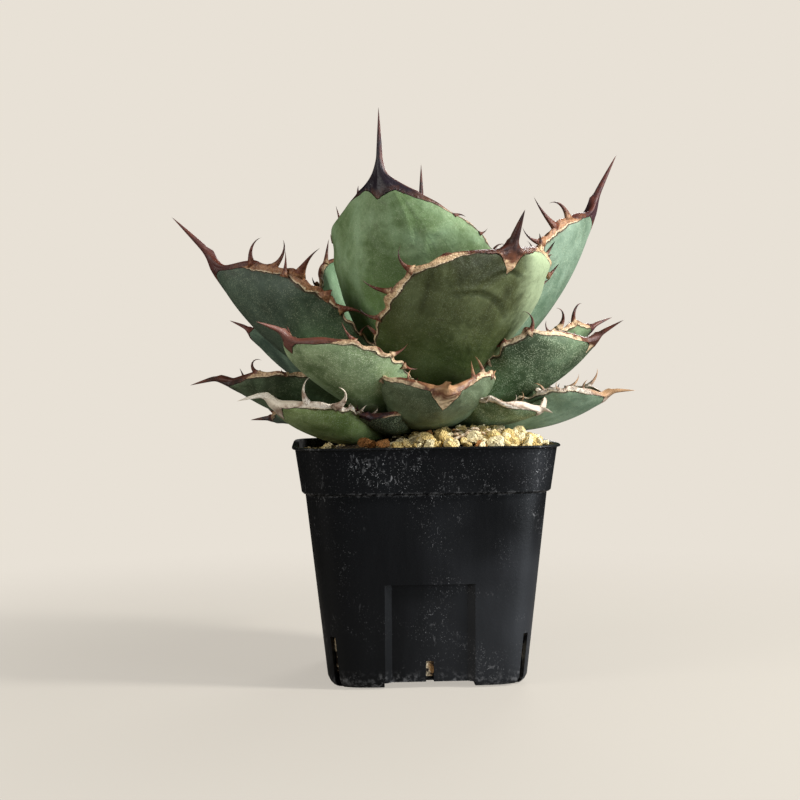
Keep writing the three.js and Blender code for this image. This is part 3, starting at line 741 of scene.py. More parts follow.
def leaf_surface(leaf, rib, teeth, along, across, side, phases):
    """Points of the leaf, with what a material wants to know about them.

    across is -1 at one margin, 0 at the midrib and 1 at the other margin. side is 1 on the inner face and -1
    on the outer one. phases shift the waves, so that no two leaves have the same ones.
    """
    blade = rib["blade"]
    where, _, edgeways, inward = section_frame(leaf, rib, along)
    width = np.interp(along, rib["along"], half_width(leaf, rib["along"], blade))
    share = np.clip(along / blade, 0, 1)
    arcs = np.radians(np.interp(share, [0, leaf["widest"], 1], leaf["arc"]))
    spine = spine_share(leaf, along, blade)
    arcs = arcs * (1 - spine) + math.radians(12) * spine
    edge_distance = width * (1 - np.abs(across))

    core = (2.4 + 0.08 * leaf["half_width"]) * (1.2 - 0.55 * share)
    blade_wall = 1.5 + (core - 1.5) * np.sqrt(np.clip(1 - across ** 2, 0, 1))
    a, b, c, d = phases
    knots = 1 + 0.5 * np.sin(along / 1.9 + 2 * a) * np.sin(along / 3.3 + b) + 0.3 * np.sin(along / 0.9 + c)
    bead = 0.5 * knots * np.exp(-((edge_distance - 1.1) / 1.1) ** 2)
    wall = (blade_wall + bead) * (1 - spine) + 2 * np.minimum(width, 1.5 * spine_radius(leaf)) * spine
    roundness = 0.36 * (1 - spine) + 1.0 * spine
    sine = np.sqrt(np.clip(1 - across ** 2, 0, 1))
    depth = wall / 2 * (1 + side * sine ** roundness)
    depth -= bead * (1 - spine) * 0.5
    keel = np.exp(-np.abs(across) * width / 1.4) * np.clip((along - 0.9 * blade) / (0.08 * blade), 0, 1)
    depth -= np.where(side < 0, 0.55 * keel * (1 - spine), 0)
    outer_print = print_relief(leaf, across * leaf["half_width"], along)
    depth -= np.where(side < 0, outer_print, 0) * (1 - spine)

    bulge = np.zeros_like(along)
    for edge, spot, length, *_ in teeth:
        near = np.exp(-((along - spot * blade) / (0.9 + 0.34 * length)) ** 2)
        bulge += np.where(np.sign(across) == edge, near * 0.16 * length, 0)
    bulge *= np.exp(-edge_distance / 5.0) * (1 - spine)
    scallops = np.sin(along / 2.3 + 3 * b) + np.sin(along / 1.3 + d)
    bulge += (1 - spine) * np.exp(-edge_distance / 4.0) * 0.5 * scallops

    beat = 2 * np.pi * along / (0.28 * blade)
    ripple = np.sin(beat + a * across) + 0.6 * np.sin(1.7 * beat + b)
    ripple *= leaf["wave"] * 0.016 * leaf["half_width"] * np.exp(-edge_distance / (0.24 * leaf["half_width"]))
    swell = np.sin(3.1 * across + 4.0 * share + c) + np.sin(5.3 * across - 6.5 * share + d)
    swell *= 0.012 * leaf["half_width"]
    lift = (ripple + swell * np.clip(edge_distance / 6, 0, 1)) * (1 - spine) * np.clip(share / 0.2, 0, 1)

    close = np.clip(along / (0.03 * blade), 0, 1) ** 0.5
    bend = (width * close) / arcs
    turn_angle = arcs * across
    level_out = (bend - depth * close - lift) * np.sin(turn_angle)
    level_in = bend * (1 - np.cos(turn_angle)) + (depth * close + lift) * np.cos(turn_angle)
    level_out += bulge * np.sign(across) * np.cos(turn_angle)
    level_in += bulge * np.abs(np.sin(turn_angle))
    points = where + edgeways * level_out[:, None] + inward * level_in[:, None]

    from_rib = np.abs(across)
    cap = 0.02 + leaf["cap_drop"] * np.exp(-from_rib / leaf["cap_flare"])
    cap_line = blade - leaf["half_width"] * cap
    cap_line -= leaf["half_width"] * leaf["cap_edge"] * np.clip((from_rib - 0.5) / 0.5, 0, 1)
    past_blade = along - blade
    dark = np.clip(0.5 + 0.5 * past_blade / leaf["spine"], 0, 1) * np.clip((past_blade + 5) / 5, 0, 1)
    return points, dict(from_edge=edge_distance, past_cap=along - cap_line, inner=side * 0.5 + 0.5,
                        share=share, across=across, dark=dark)


# %% [markdown]
# One horn is modelled for all the teeth: a ring is drawn out and drawn in, step by step, to a point. Every
# tooth is a copy of it. Its rings are flattened along the margin and set out along a curling line. The
# directions along which they are set out mirror the horn, so the faces of each copy are turned over again.

# %% The tooth that all teeth are copied from
HORN_STEPS = 9
HORN_PROFILE = [1 - 0.62 * height ** 0.55 - 0.38 * height ** 1.6
                for height in (k / HORN_STEPS for k in range(HORN_STEPS + 1))]
BLUNT = 0.03

deselect()
bpy.ops.mesh.primitive_circle_add(vertices=10, radius=1, fill_type="NGON")
horn = named("horn")
bpy.ops.object.mode_set(mode="EDIT")
bpy.ops.mesh.select_all(action="SELECT")
for before, after in zip(HORN_PROFILE, HORN_PROFILE[1:]):
    bpy.ops.mesh.extrude_region_move(TRANSFORM_OT_translate={"value": (0, 0, 1 / HORN_STEPS)})
    ratio = max(after, BLUNT) / max(before, BLUNT)
    bpy.ops.transform.resize(value=(ratio, ratio, 1), center_override=(0, 0, 0))
bpy.ops.mesh.merge(type="CENTER")
bpy.ops.object.mode_set(mode="OBJECT")
point_outwards(horn)
print("horn:", len(horn.data.vertices), "vertices")


# %% A tooth on a margin
TOOTH_ROOT = 1.4


def unit(vector):
    return vector / np.linalg.norm(vector)


def grow_tooth(leaf, rib, tooth):
    """A bent copy of the horn on the leaf's margin."""
    edge, spot, length, lean, curl, lift = tooth

    def at(further, across, teeth=()):
        along = np.array([spot * rib["blade"] + further])
        points, _ = leaf_surface(leaf, rib, teeth, along, np.array([edge * across]), np.zeros(1), (0, 0, 0, 0))
        return points[0]

    root = at(0, 1.0, [tooth])
    margin = unit(at(0.6, 1.0) - at(-0.6, 1.0))
    outward = unit(root - at(0, 0.9))
    outward = unit(outward - margin * outward.dot(margin))
    side = np.cross(margin, outward) * edge
    shape = coordinates(horn.data)
    height = shape[:, 2]
    foot = 0.6 + 0.2 * length ** 0.9
    steps = np.linspace(0, 1, 30)
    lean_now = np.radians(lean + curl * (steps ** 1.3 - 0.35))
    lift_now = np.radians(lift * (0.4 + 0.9 * steps))
    heading = (np.cos(lean_now)[:, None] * outward + np.sin(lean_now)[:, None] * margin)
    heading = heading * np.cos(lift_now)[:, None] + side * np.sin(lift_now)[:, None]
    stride = (length + TOOTH_ROOT) / (len(steps) - 1)
    line = root - outward * TOOTH_ROOT + np.concatenate([[[0, 0, 0]], np.cumsum(heading[:-1], 0)]) * stride
    centre = np.stack([np.interp(height, steps, line[:, k]) for k in range(3)], 1)
    forward = np.stack([np.interp(height, steps, heading[:, k]) for k in range(3)], 1)
    across = np.cross(forward, side)
    across /= np.linalg.norm(across, axis=1)[:, None]
    thick = np.cross(across, forward)
    spread = foot * (0.36 + 0.64 * (1 - height) ** 3)
    thin = 0.8 + 0.05 * length
    points = centre + across * (shape[:, 0] * spread)[:, None] + thick * (shape[:, 1] * thin)[:, None]
    copy = copied(horn)
    set_coordinates(copy.data, planted(points))
    copy.data.flip_normals()
    mark(copy.data, "dark", np.clip(height * 1.25 - 0.05, 0, 1))
    for name, value in dict(from_edge=-3.0, past_cap=-20.0, inner=0.5, share=0.5, across=0.5).items():
        mark(copy.data, name, np.full(len(points), value))
    return copy


# %% [markdown]
# The blade itself is a sphere primitive whose rings are spread along the midrib, closer together at the
# shoulder, where the outline turns fastest. The big leaves get a finer sphere. The teeth are then joined to
# the blade, because on the plant margin, teeth and spine are one horny growth.

# %% Growing a leaf
def grow_leaf(name, leaf, seed):
    leaf = {**LEAF_HABIT, **leaf}
    rng = np.random.default_rng(seed)
    rib = midrib(leaf)
    teeth = all_teeth(leaf, rng)
    segments, rings = (128, 132) if leaf["half_width"] > 26 else (96, 96)
    deselect()
    bpy.ops.mesh.primitive_uv_sphere_add(segments=segments, ring_count=rings, radius=1)
    blade = named(name)
    ball = coordinates(blade.data)
    share = 1 - np.arccos(np.clip(ball[:, 2], -1, 1)) / np.pi
    turn_round = np.arctan2(ball[:, 1], ball[:, 0])
    pole = np.abs(ball[:, 2]) > 0.99999
    across = np.where(pole, 0, np.cos(turn_round))
    side = np.where(pole, 0, np.sign(np.round(np.sin(turn_round), 6)))
    closeness = 1 + 1.6 * np.exp(-((rib["along"] - rib["blade"]) / (0.12 * rib["blade"])) ** 2)
    spread = np.concatenate([[0], np.cumsum(closeness[1:])])
    along = np.interp(share * spread[-1], spread, rib["along"])
    along = np.clip(along, 0.02, rib["along"][-1])
    points, facts = leaf_surface(leaf, rib, teeth, along, across, side, rng.uniform(0, 6.28, 4))
    set_coordinates(blade.data, planted(points))
    for key, values in facts.items():
        mark(blade.data, key, values)
    point_outwards(blade)
    join_to(blade, [grow_tooth(leaf, rib, tooth) for tooth in teeth])
    bpy.ops.object.shade_smooth()
    print(f"{name}: {len(teeth)} teeth, {len(blade.data.vertices)} vertices")
    return blade


# %% [markdown]
# ### Leaf skin
#
# The skin is waxy and grey-green, paler and bluer where the wax is thick, more yellow towards the base, and
# darker and speckled on the old outer leaves. The margin is a corky band that runs from bleached tan to
# chestnut, with a fine dark line where it meets the green. Teeth and spines darken towards their tips. All of
# it follows the leaf: `from_edge` is the distance to the margin in millimetres, `past_cap` is how far a point
# is past the foot of the spine's horny cap, and `dark` says how ripe the horn is.
#
# A picture of a leaf could be laid over each blade, but it would stretch over the curled margins. Node
# patterns don't, and each leaf can have its own age: `deep` and `pale` are its greens, `bloom` its wax,
# `lit_side_amount` how far one side of the blade is painted paler, a painted highlight for the light that
# falls on it, `band` the width of its margin in millimetres, and `bleach` how far its horn has weathered to
# white.

# %% Leaf skin material
def leaf_skin(name, deep, pale, bloom=0.4, bloom_tone=(150, 180, 150), lit_side_amount=0.0, warm=0.2, speckle=0.3,
              stain=0.25, band=1.5, horn_tan=(206, 176, 138), horn_brown=(104, 62, 42), cap=(38, 28, 34),
              cap_ripe=0.45, bleach=0.0):
    g = Graph(name)
    edge, cap_run, dark = g.marked("from_edge"), g.marked("past_cap"), g.marked("dark")
    share, across, inner = g.marked("share"), g.marked("across"), g.marked("inner")
    lines = g.node("ShaderNodeCombineXYZ")
    g.feed(lines.inputs[0], g.times(across, 7))
    g.feed(lines.inputs[1], g.times(share, 2.2))
    g.feed(lines.inputs[2], g.times(inner, 3))
    streak = g.noise(1.3, 4, lines.outputs[0], 0.7)
    cloud = g.noise(30, 4, distortion=1.2)
    mottle = g.noise(170, 4, distortion=1.0)
    fine = g.noise(900, 3)

    tone = g.add(g.add(g.times(streak, 0.12), g.times(cloud, 0.75)), g.times(mottle, 0.28))
    green = g.blend(g.step(tone, 0.4, 0.78), srgb(*deep), srgb(*pale))
    yellow = g.times(g.fade(share, 0.1, 0.8), warm)
    green = g.blend(yellow, green, srgb(92, 132, 44))
    wax = g.times(g.step(g.add(g.times(cloud, 0.8), g.times(streak, 0.2)), 0.42, 0.7), bloom)
    green = g.blend(wax, green, srgb(*bloom_tone))
    # Painted highlight: one side of the blade, the counter-clockwise one, is painted paler for the light that
    # falls on that side.
    painted_side_highlight = g.times(g.step(g.add(across, g.times(g.centred(cloud), 0.8)), 0.12, 0.62), lit_side_amount)
    green = g.blend(painted_side_highlight, green, srgb(176, 192, 152))
    spots = g.fade(g.cells(2100, g.warped(1500, 0.0006)), 0.16, 0.44)
    spots = g.times(g.times(spots, g.step(mottle, 0.3, 0.56)), speckle)
    green = g.blend(spots, green, srgb(200, 212, 178))
    green = g.blend(g.times(g.step(fine, 0.48, 0.7), 0.18), green, srgb(52, 66, 40))
    green = g.blend(g.times(g.step(mottle, 0.55, 0.75), stain), green, srgb(44, 38, 26))

    wobble = g.times(g.centred(g.noise(190, 4, distortion=0.6)), 3.4)
    full = g.add(0.3, g.times(g.step(share, 0.4, 0.72), 0.7))
    width = g.add(g.times(g.add(wobble, band), full), g.times(g.step(share, 0.8, 0.98), 1.6))
    past_band = g.math("SUBTRACT", width, edge)
    on_band = g.step(past_band, -0.12, 0.12)
    ragged_cap = g.add(cap_run, g.times(g.centred(g.noise(300, 3)), 1.6))
    on_cap = g.step(ragged_cap, -0.15, 0.25)
    horn_mask = g.either(on_band, on_cap)
    rim_line = g.line(g.add(past_band, 0.25), 0.1, 0.55)
    green = g.blend(g.times(rim_line, 0.7), green, srgb(70, 48, 30))

    patches = g.noise(150, 4, distortion=1.0)
    ripe = g.add(dark, g.times(g.centred(patches), 1.5))
    ripe = g.add(ripe, g.times(on_cap, cap_ripe))
    outermost = g.fade(edge, 0.1, 1.3)
    ripe = g.add(ripe, g.times(outermost, 0.2))
    tan = g.blend(bleach, srgb(*horn_tan), srgb(232, 224, 210))
    brown = g.blend(bleach * 0.6, srgb(*horn_brown), srgb(206, 182, 158))
    bark = g.blend(g.step(ripe, 0.1, 0.46), tan, brown)
    bark = g.blend(g.step(ripe, 0.42, 0.9), bark, srgb(*cap))
    seam = g.line(g.math("SUBTRACT", past_band, 0.35), 0.1, 0.5)
    off_cap = g.fade(cap_run, -2.5, 0.0)
    bark = g.blend(g.times(g.times(seam, off_cap), 0.8), bark, srgb(230, 212, 178))
    reddened = g.times(g.times(outermost, g.step(patches, 0.36, 0.6)), 0.45 * (1 - bleach))
    bark = g.blend(reddened, bark, srgb(120, 60, 38))
    grain = g.noise(1000, 4, distortion=0.8)
    roughly = g.math("SUBTRACT", 1.0, g.times(g.step(cap_run, 0.0, 4.0), 0.8))
    cracks = g.times(g.times(g.step(grain, 0.42, 0.66), 0.6), roughly)
    bark = g.blend(cracks, bark, srgb(120, 84, 62), "MULTIPLY")

    g.surface("Base Color", g.blend(horn_mask, green, bark))
    g.surface("Roughness", g.blend_value(horn_mask, g.add(0.53, g.times(cloud, 0.16)), 0.46))
    g.surface("Specular IOR Level", 0.4)
    low = g.relief(g.noise(48, 3, distortion=0.5), 0.0011)
    mid = g.relief(mottle, 0.00025, g.relief(streak, 0.00012, low))
    skin = g.relief(g.noise(1300, 2), 0.00004, mid)
    cork = g.relief(g.times(g.noise(520, 5, distortion=0.6), g.times(horn_mask, roughly)), 0.0008, skin)
    g.surface("Normal", g.relief(horn_mask, 0.0004, cork))
    return g.material


# %% [markdown]
# ### The leaves one by one
#
# The table has the youngest leaf first. `base` and `tip` are the distance from the pot's axis and the height
# in millimetres, close to the construction model's. Teeth are (edge, place along the blade, length, lean,
# curl, lift): edge 1 is the one that is counter-clockwise seen from above. `prints` are arcs that the
# neighbours' margins left in the bud: (across, along, radius, first bearing, last bearing).

# %% The table of leaves
GLAUCOUS = dict(deep=(92, 122, 92), pale=(140, 172, 136), bloom=0.55)
SHADED = dict(deep=(58, 78, 66), pale=(98, 122, 104), bloom=0.3)
OLIVE = dict(deep=(78, 96, 66), pale=(120, 142, 100), bloom=0.35)
SPECKLED = dict(deep=(64, 84, 52), pale=(112, 134, 92), speckle=0.85, bloom=0.2)
FRESH = dict(deep=(56, 82, 42), pale=(112, 140, 82), speckle=0.5, bloom=0.2)
PALE_LOW = dict(deep=(96, 120, 94), pale=(150, 170, 142), bloom=0.45)

LEAVES = {
    "leaf_02_inner_back": dict(
        azimuth=80, base=(2, 108), tip=(12, 186), half_width=30, bow=8, base_width=0.6, bluntness=0.6,
        arc=(110, 80, 60), spine=17, spine_rise=0, skin=GLAUCOUS),
    "leaf_03_tall_front": dict(
        azimuth=-125, base=(5, 105), tip=(30, 195), half_width=47, bow=17, base_width=0.62, bluntness=0.68,
        arc=(90, 62, 50), spine=29, spine_rise=2, edge_teeth=5, cap_drop=0.1, cap_flare=0.4,
        prints=[(1.62, 64, 60, 152, 200), (0.2, 82, 14, 200, 330), (0.62, 66, 9, 90, 250)],
        skin=dict(GLAUCOUS, deep=(84, 108, 62), pale=(138, 164, 116), bloom=0.4, warm=0.9, band=0.5,
                  cap=(34, 26, 36), horn_tan=(120, 84, 62), horn_brown=(74, 46, 38)),
        teeth=[(-1, 0.97, 2.6, 10, 40, 10), (-1, 0.88, 4.2, 60, 60, 30), (1, 0.87, 4.5, -40, -60, 20),
               (1, 0.78, 3.0, 10, 60, 10), (-1, 0.74, 2.4, 20, 60, 10)]),
    "leaf_04_upper_right": dict(
        azimuth=22, base=(5, 103), tip=(82, 181), half_width=42, bow=27, base_width=0.55,
        widest=0.55, arc=(80, 74, 60), roll=-22, spine=28, spine_rise=-8, edge_teeth=5,
        skin=dict(GLAUCOUS, deep=(82, 104, 84), pale=(120, 142, 120), bloom_tone=(132, 154, 134), band=2.4,
                  cap=(62, 40, 44), horn_tan=(170, 126, 90)),
        teeth=[(-1, 0.94, 12.5, -25, -110, 10), (-1, 0.87, 15.5, 5, 30, 0), (-1, 0.77, 13.0, -25, 60, 0),
               (-1, 0.67, 9.0, -35, -50, 0)]),
    "leaf_05_upper_left": dict(
        azimuth=172, base=(6, 101), tip=(83, 161), half_width=42, bow=23, base_width=0.55,
        arc=(80, 74, 60), roll=16, spine=28, spine_rise=-12, edge_teeth=5,
        skin=dict(SHADED, deep=(44, 58, 46), pale=(72, 88, 70), bloom=0.2, bloom_tone=(112, 134, 122),
                  cap=(84, 48, 44), band=2.8, horn_tan=(170, 124, 88)),
        teeth=[(1, 0.94, 12.5, -15, -110, 0), (1, 0.87, 13.5, 0, 100, 10), (1, 0.80, 9.0, 15, 20, 0),
               (1, 0.745, 17.0, 10, -25, -25), (1, 0.585, 17.0, -75, 75, 5), (1, 0.47, 12.0, -60, -80, 10)]),
    "leaf_06_front_right": dict(
        azimuth=-56, base=(7, 100), tip=(58, 169), half_width=44, bow=16, base_width=0.55, bluntness=0.36,
        arc=(80, 50, 40), spine=17, spine_rise=0, edge_teeth=5, cap_drop=0.2, cap_edge=0.02, stout=1.75,
        prints=[(0.0, 62, 17, 50, 175), (-0.3, 48, 22, 20, 120)],
        # Painted highlight: this leaf's right side is painted paler for the light from the right.
        skin=dict(OLIVE, deep=(42, 46, 14), pale=(78, 84, 38), bloom=0.4, bloom_tone=(88, 98, 70), lit_side_amount=0.75,
                  stain=0.4, speckle=0.15, band=2.4, cap=(54, 34, 32), horn_tan=(214, 182, 140),
                  cap_ripe=0.2),
        teeth=[(-1, 0.85, 11.0, 30, 110, 10), (-1, 0.93, 5.0, 80, 120, 10), (-1, 0.72, 11.5, -25, 60, 0),
               (-1, 0.54, 8.5, -10, 70, 10), (-1, 0.42, 7.0, -40, -140, 20), (1, 0.97, 7.0, 20, 90, -10),
               (1, 0.92, 8.0, 0, 120, -20), (1, 0.86, 6.0, -10, -100, -20), (1, 0.79, 6.5, 0, 110, -20),
               (1, 0.70, 5.0, 0, 90, -20), (1, 0.60, 4.0, 0, 60, -20)]),
    "leaf_07_upper_back": dict(
        azimuth=121, base=(8, 100), tip=(54, 164), half_width=36, bow=15, base_width=0.55, spine=24,
        spine_rise=0, edge_teeth=5, skin=GLAUCOUS, teeth=[(1, 0.95, 9.5, 30, 20, 0)]),
    "leaf_08_front_left": dict(
        azimuth=-143, base=(9, 99), tip=(66, 136), half_width=34, bow=22, base_width=0.5, arc=(80, 68, 55),
        roll=-1, spine=17, spine_rise=-30, edge_teeth=5,
        skin=dict(SPECKLED, deep=(92, 112, 72), pale=(164, 184, 136), cap=(110, 70, 60), speckle=1.0),
        teeth=[(1, 0.87, 8.0, 40, -30, 0), (1, 0.63, 7.0, -30, 50, 10), (1, 0.47, 6.5, -45, 30, 10)]),
    "leaf_09_right": dict(
        azimuth=-10, base=(10, 98), tip=(70, 131), half_width=35, bow=22, base_width=0.2, widest=0.7,
        arc=(80, 68, 55), roll=-14, spine=15, spine_rise=-15, edge_teeth=5,
        skin=dict(SPECKLED, deep=(54, 70, 46), pale=(92, 110, 76), cap=(72, 44, 40), horn_tan=(222, 198, 160),
                  band=1.9, cap_ripe=0.1),
        teeth=[(-1, 0.79, 10.5, 15, -130, 10), (-1, 0.6, 9.0, -25, 80, 10), (-1, 0.42, 7.0, -40, 70, 10)]),
    "leaf_10_back_left": dict(
        azimuth=147, base=(10, 97), tip=(84, 132), half_width=30, base_width=0.5, roll=28, spine=12,
        skin=dict(SHADED, cap=(92, 54, 50))),
    "leaf_11_front": dict(
        azimuth=-84, base=(11, 96), tip=(56, 118), half_width=32, bow=22, base_width=0.4, arc=(80, 74, 68),
        spine=12, spine_rise=-30,
        cap_drop=0.3, cap_flare=0.2,
        skin=dict(SHADED, deep=(66, 78, 54), pale=(110, 122, 92), band=1.9, horn_tan=(222, 196, 158),
                  cap=(184, 146, 106), cap_ripe=0.1),
        teeth=[(1, 0.95, 6.5, -20, -20, 10), (1, 0.88, 7.0, 5, 50, 10), (-1, 0.36, 8.0, 5, 90, 10)]),
    "leaf_12_back_right": dict(
        azimuth=33, base=(11, 97), tip=(94, 130), half_width=25, roll=-30, spine=14,
        skin=dict(OLIVE, cap=(66, 42, 44)),
        teeth=[(1, 0.97, 9.0, 0, -80, 0), (-1, 0.88, 12.0, 10, 150, 0), (-1, 0.74, 12.0, 0, -130, 0)]),
    "leaf_13_left": dict(
        azimuth=-176, base=(12, 97), tip=(78, 116), half_width=30, bow=20, arc=(80, 66, 45), roll=12,
        spine=15, spine_rise=-45,
        skin=dict(SPECKLED, deep=(36, 48, 26), pale=(62, 76, 44), cap=(58, 40, 34), speckle=0.2),
        teeth=[(1, 0.91, 9.0, -20, -200, 10)]),
    "leaf_14_front_right_low": dict(
        azimuth=-37, base=(12, 96), tip=(56, 107), half_width=25, bow=10, base_width=0.25, widest=0.65,
        arc=(80, 66, 45), spine=5, spine_rise=-35, wave=1.6,
        skin=dict(SPECKLED, deep=(70, 90, 60), pale=(116, 138, 104), band=2.9, cap=(206, 190, 172),
                  bleach=1.0),
        teeth=[(-1, 0.46, 7.0, -50, 70, 10), (-1, 0.36, 6.0, -70, -60, 10)]),
    "leaf_15_back": dict(azimuth=98, base=(12, 97), tip=(80, 122), half_width=28, spine=13, skin=OLIVE),
    "leaf_16_small_front_left": dict(
        azimuth=-122, base=(13, 96), tip=(43, 106), half_width=17, arc=(80, 66, 45), spine=7,
        # Painted shade: its greens are made very dark for the deep shade it sits in between the front leaves.
        edge_teeth=3, skin=dict(SPECKLED, deep=(30, 40, 24), pale=(54, 66, 40))),
    "leaf_17_right_low": dict(
        azimuth=13, base=(13, 97), tip=(62, 107), half_width=22, spine=10, skin=SPECKLED),
    "leaf_18_back_left_low": dict(
        azimuth=152, base=(13, 97), tip=(68, 96), half_width=20, bow=4, arc=(80, 50, 45), spine=12,
        spine_rise=-5, edge_teeth=3, skin=SHADED),
    "leaf_19_back_right_low": dict(
        azimuth=66, base=(13, 97), tip=(70, 108), half_width=24, bow=14, spine=11, edge_teeth=3, skin=OLIVE),
    "leaf_20_front_left_low": dict(
        azimuth=-155, base=(13, 96), tip=(66, 111), half_width=28, bow=38, arc=(80, 68, 45), spine=15,
        spine_rise=-58, cap_drop=0.3, cap_flare=0.3,
        skin=dict(FRESH, deep=(84, 102, 50), pale=(146, 164, 100), bleach=0.85, cap=(234, 222, 202), band=2.0),
        teeth=[(1, 0.92, 12.5, -5, -80, 0), (1, 0.77, 12.0, -10, 120, 0), (-1, 0.97, 7.0, 0, 30, 0)]),
    "leaf_21_right_lowest": dict(
        azimuth=-8, base=(13, 97), tip=(75, 109), half_width=26, bow=26, base_width=0.3, widest=0.7,
        arc=(80, 66, 45), roll=-8, spine=12, spine_rise=-30,
        skin=dict(PALE_LOW, bleach=0.8, cap=(176, 140, 104), cap_ripe=0.2),
        teeth=[(1, 0.80, 8.5, 20, -90, 0), (1, 0.93, 9.5, 10, -90, 0)]),
}

LAST_UPPER_LEAF = 7
for number, (name, leaf) in enumerate(LEAVES.items(), start=2):
    skin = leaf_skin("skin_of_" + name, **leaf["skin"])
    slot = "leaf_upper" if number <= LAST_UPPER_LEAF else "leaf_lower"
    finish_piece(grow_leaf(name + "_grown", leaf, 100 + number), skin, slot, name)
bpy.data.objects.remove(horn)

# %% [markdown]
# ### The spear
#
# The youngest leaves are still rolled into one pointed bud. A few turns of a real roll could be lofted, but
# only the outermost edge shows. So the bud is again a drawn-out sphere, and its outline steps in along one
# line that winds slowly up to the dark tip, where the outer leaf's margin lies on the next.

# %% The rolled bud
BUD = dict(base=107.6, blade=62, spine=14, radius=6.4, lean=11)


def grow_bud():
    deselect()
    bpy.ops.mesh.primitive_uv_sphere_add(segments=96, ring_count=96, radius=1)
    bud = named("leaf_01_rolled_bud")
    ball = coordinates(bud.data)
    share = 1 - np.arccos(np.clip(ball[:, 2], -1, 1)) / np.pi
    turn_round = np.arctan2(ball[:, 1], ball[:, 0])
    length = BUD["blade"] + BUD["spine"]
    along = share * length
    past_blade = along - BUD["blade"]
    rising = np.clip(along / BUD["blade"], 0, 1)
    swell = (0.78 + 0.22 * np.sin(np.pi * rising)) * (1 - np.clip((rising - 0.45) / 0.55, 0, 1) ** 1.8 * 0.84)
    spine = np.clip((length - along) / BUD["spine"], 0, 1)
    radius = BUD["radius"] * swell * np.where(along > BUD["blade"], spine ** 0.9, 1)
    radius *= np.clip(along / 2.0, 0, 1) ** 0.5
    from_seam = (turn_round - 2.4 * rising + 2.0) % (2 * np.pi)
    step_in = 0.14 * (1 - from_seam / (2 * np.pi)) ** 3
    radius *= 1 + np.where(rising < 1, step_in, 0)
    sideways = radius * np.cos(turn_round) + BUD["lean"] * share ** 1.6
    points = np.stack([sideways, radius * np.sin(turn_round), BUD["base"] + along], 1)
    set_coordinates(bud.data, planted(points))
    facts = dict(from_edge=from_seam * radius, past_cap=past_blade + 3, inner=np.zeros(len(points)),
                 share=rising, across=np.cos(turn_round), dark=np.clip(0.5 + past_blade / 20, 0, 1))
    for key, values in facts.items():
        mark(bud.data, key, values)
    only(bud)
    bpy.ops.object.shade_smooth()
    return bud


bud_skin = leaf_skin("skin_of_bud", deep=(96, 128, 88), pale=(142, 172, 132), cap=(58, 40, 46), band=0.6)
finish_piece(grow_bud(), bud_skin, "leaf_upper", "leaf_01_centre_spear")

# %% [markdown]
# ## The gravel
#
# The soil is dressed with pumice of about 3 to 8 mm: pale yellow, angular and pitted, with a few rusty
# grains. They could be scattered by a particle system, but then their sizes and places would be out of our
# hands. Five grains are modelled: a ball is shaken out of round and then broken along a few planes. Every
# grain of the bed is a turned and scaled copy of one of them. The loose grains are made the same way from a
# finer ball.

# %% Master grains
PUMICE_TONES = dict(cream=(242, 228, 184), straw=(224, 198, 132), rust=(158, 108, 62), pit=(136, 106, 64))


def broken_grain(name, subdivisions, seed, chips):
    """A unit ball, shaken out of round and broken along a few planes."""
    rng = np.random.default_rng(seed)
    deselect()
    bpy.ops.mesh.primitive_ico_sphere_add(subdivisions=subdivisions, radius=1)
    grain = named(name)
    bpy.ops.object.mode_set(mode="EDIT")
    bpy.ops.mesh.select_all(action="SELECT")
    bpy.ops.transform.vertex_random(offset=0.2, uniform=0.0, normal=0.6, seed=seed)
    for _ in range(chips):
        direction = unit(rng.normal(size=3))
        bpy.ops.mesh.select_all(action="SELECT")
        bpy.ops.mesh.bisect(plane_co=direction * rng.uniform(0.5, 0.78), plane_no=direction, use_fill=True,
                            clear_outer=True)
    bpy.ops.mesh.select_all(action="SELECT")
    bpy.ops.mesh.quads_convert_to_tris()
    bpy.ops.mesh.normals_make_consistent(inside=False)
    bpy.ops.object.mode_set(mode="OBJECT")
    points = coordinates(grain.data)
    set_coordinates(grain.data, points / np.abs(points).max(axis=0))
    return grain


GRAIN_MASTERS = [broken_grain(f"grain_{number}", 2, 11 + number, 5) for number in range(5)]
print("grains:", [len(grain.data.polygons) for grain in GRAIN_MASTERS], "faces")


# %% Setting grains
def turned(rng):
    """A seeded random turn."""
    x, y, z, w = unit(rng.normal(size=4))
    return np.array([[1 - 2 * (y * y + z * z), 2 * (x * y - z * w), 2 * (x * z + y * w)],
                     [2 * (x * y + z * w), 1 - 2 * (x * x + z * z), 2 * (y * z - x * w)],
                     [2 * (x * z - y * w), 2 * (y * z + x * w), 1 - 2 * (x * x + y * y)]])


def set_grain(master, at, radii, rng, tint):
    """A copy of a grain with its centre at a place in mm from the pot's axis."""
    copy = copied(master)
    points = (coordinates(copy.data) * radii) @ turned(rng).T + at
    set_coordinates(copy.data, points * MM + np.array(AXIS))
    mark(copy.data, "tint", np.full(len(points), tint))
    return copy


def pumice_material():
    """Pumice: cream to straw with rusty grains, darker in its pits."""
    g = Graph("pumice")
    tint = g.marked("tint")
    cloud = g.noise(300, 4, distortion=0.6)
    pits = g.cells(1500, g.warped(900, 0.0006))
    body = g.blend(g.step(g.add(tint, g.times(g.centred(cloud), 0.9)), 0.2, 0.62),
                   srgb(*PUMICE_TONES["cream"]), srgb(*PUMICE_TONES["straw"]))
    body = g.blend(g.step(tint, 0.93, 0.97), body, srgb(*PUMICE_TONES["rust"]))
    body = g.blend(g.times(g.fade(pits, 0.08, 0.42), 0.6), body, srgb(*PUMICE_TONES["pit"]))
    g.surface("Base Color", body)
    g.surface("Roughness", 0.9)
    g.surface("Specular IOR Level", 0.2)
    g.surface("Normal", g.relief(pits, 0.0006, g.relief(cloud, 0.0008)))
    return g.material


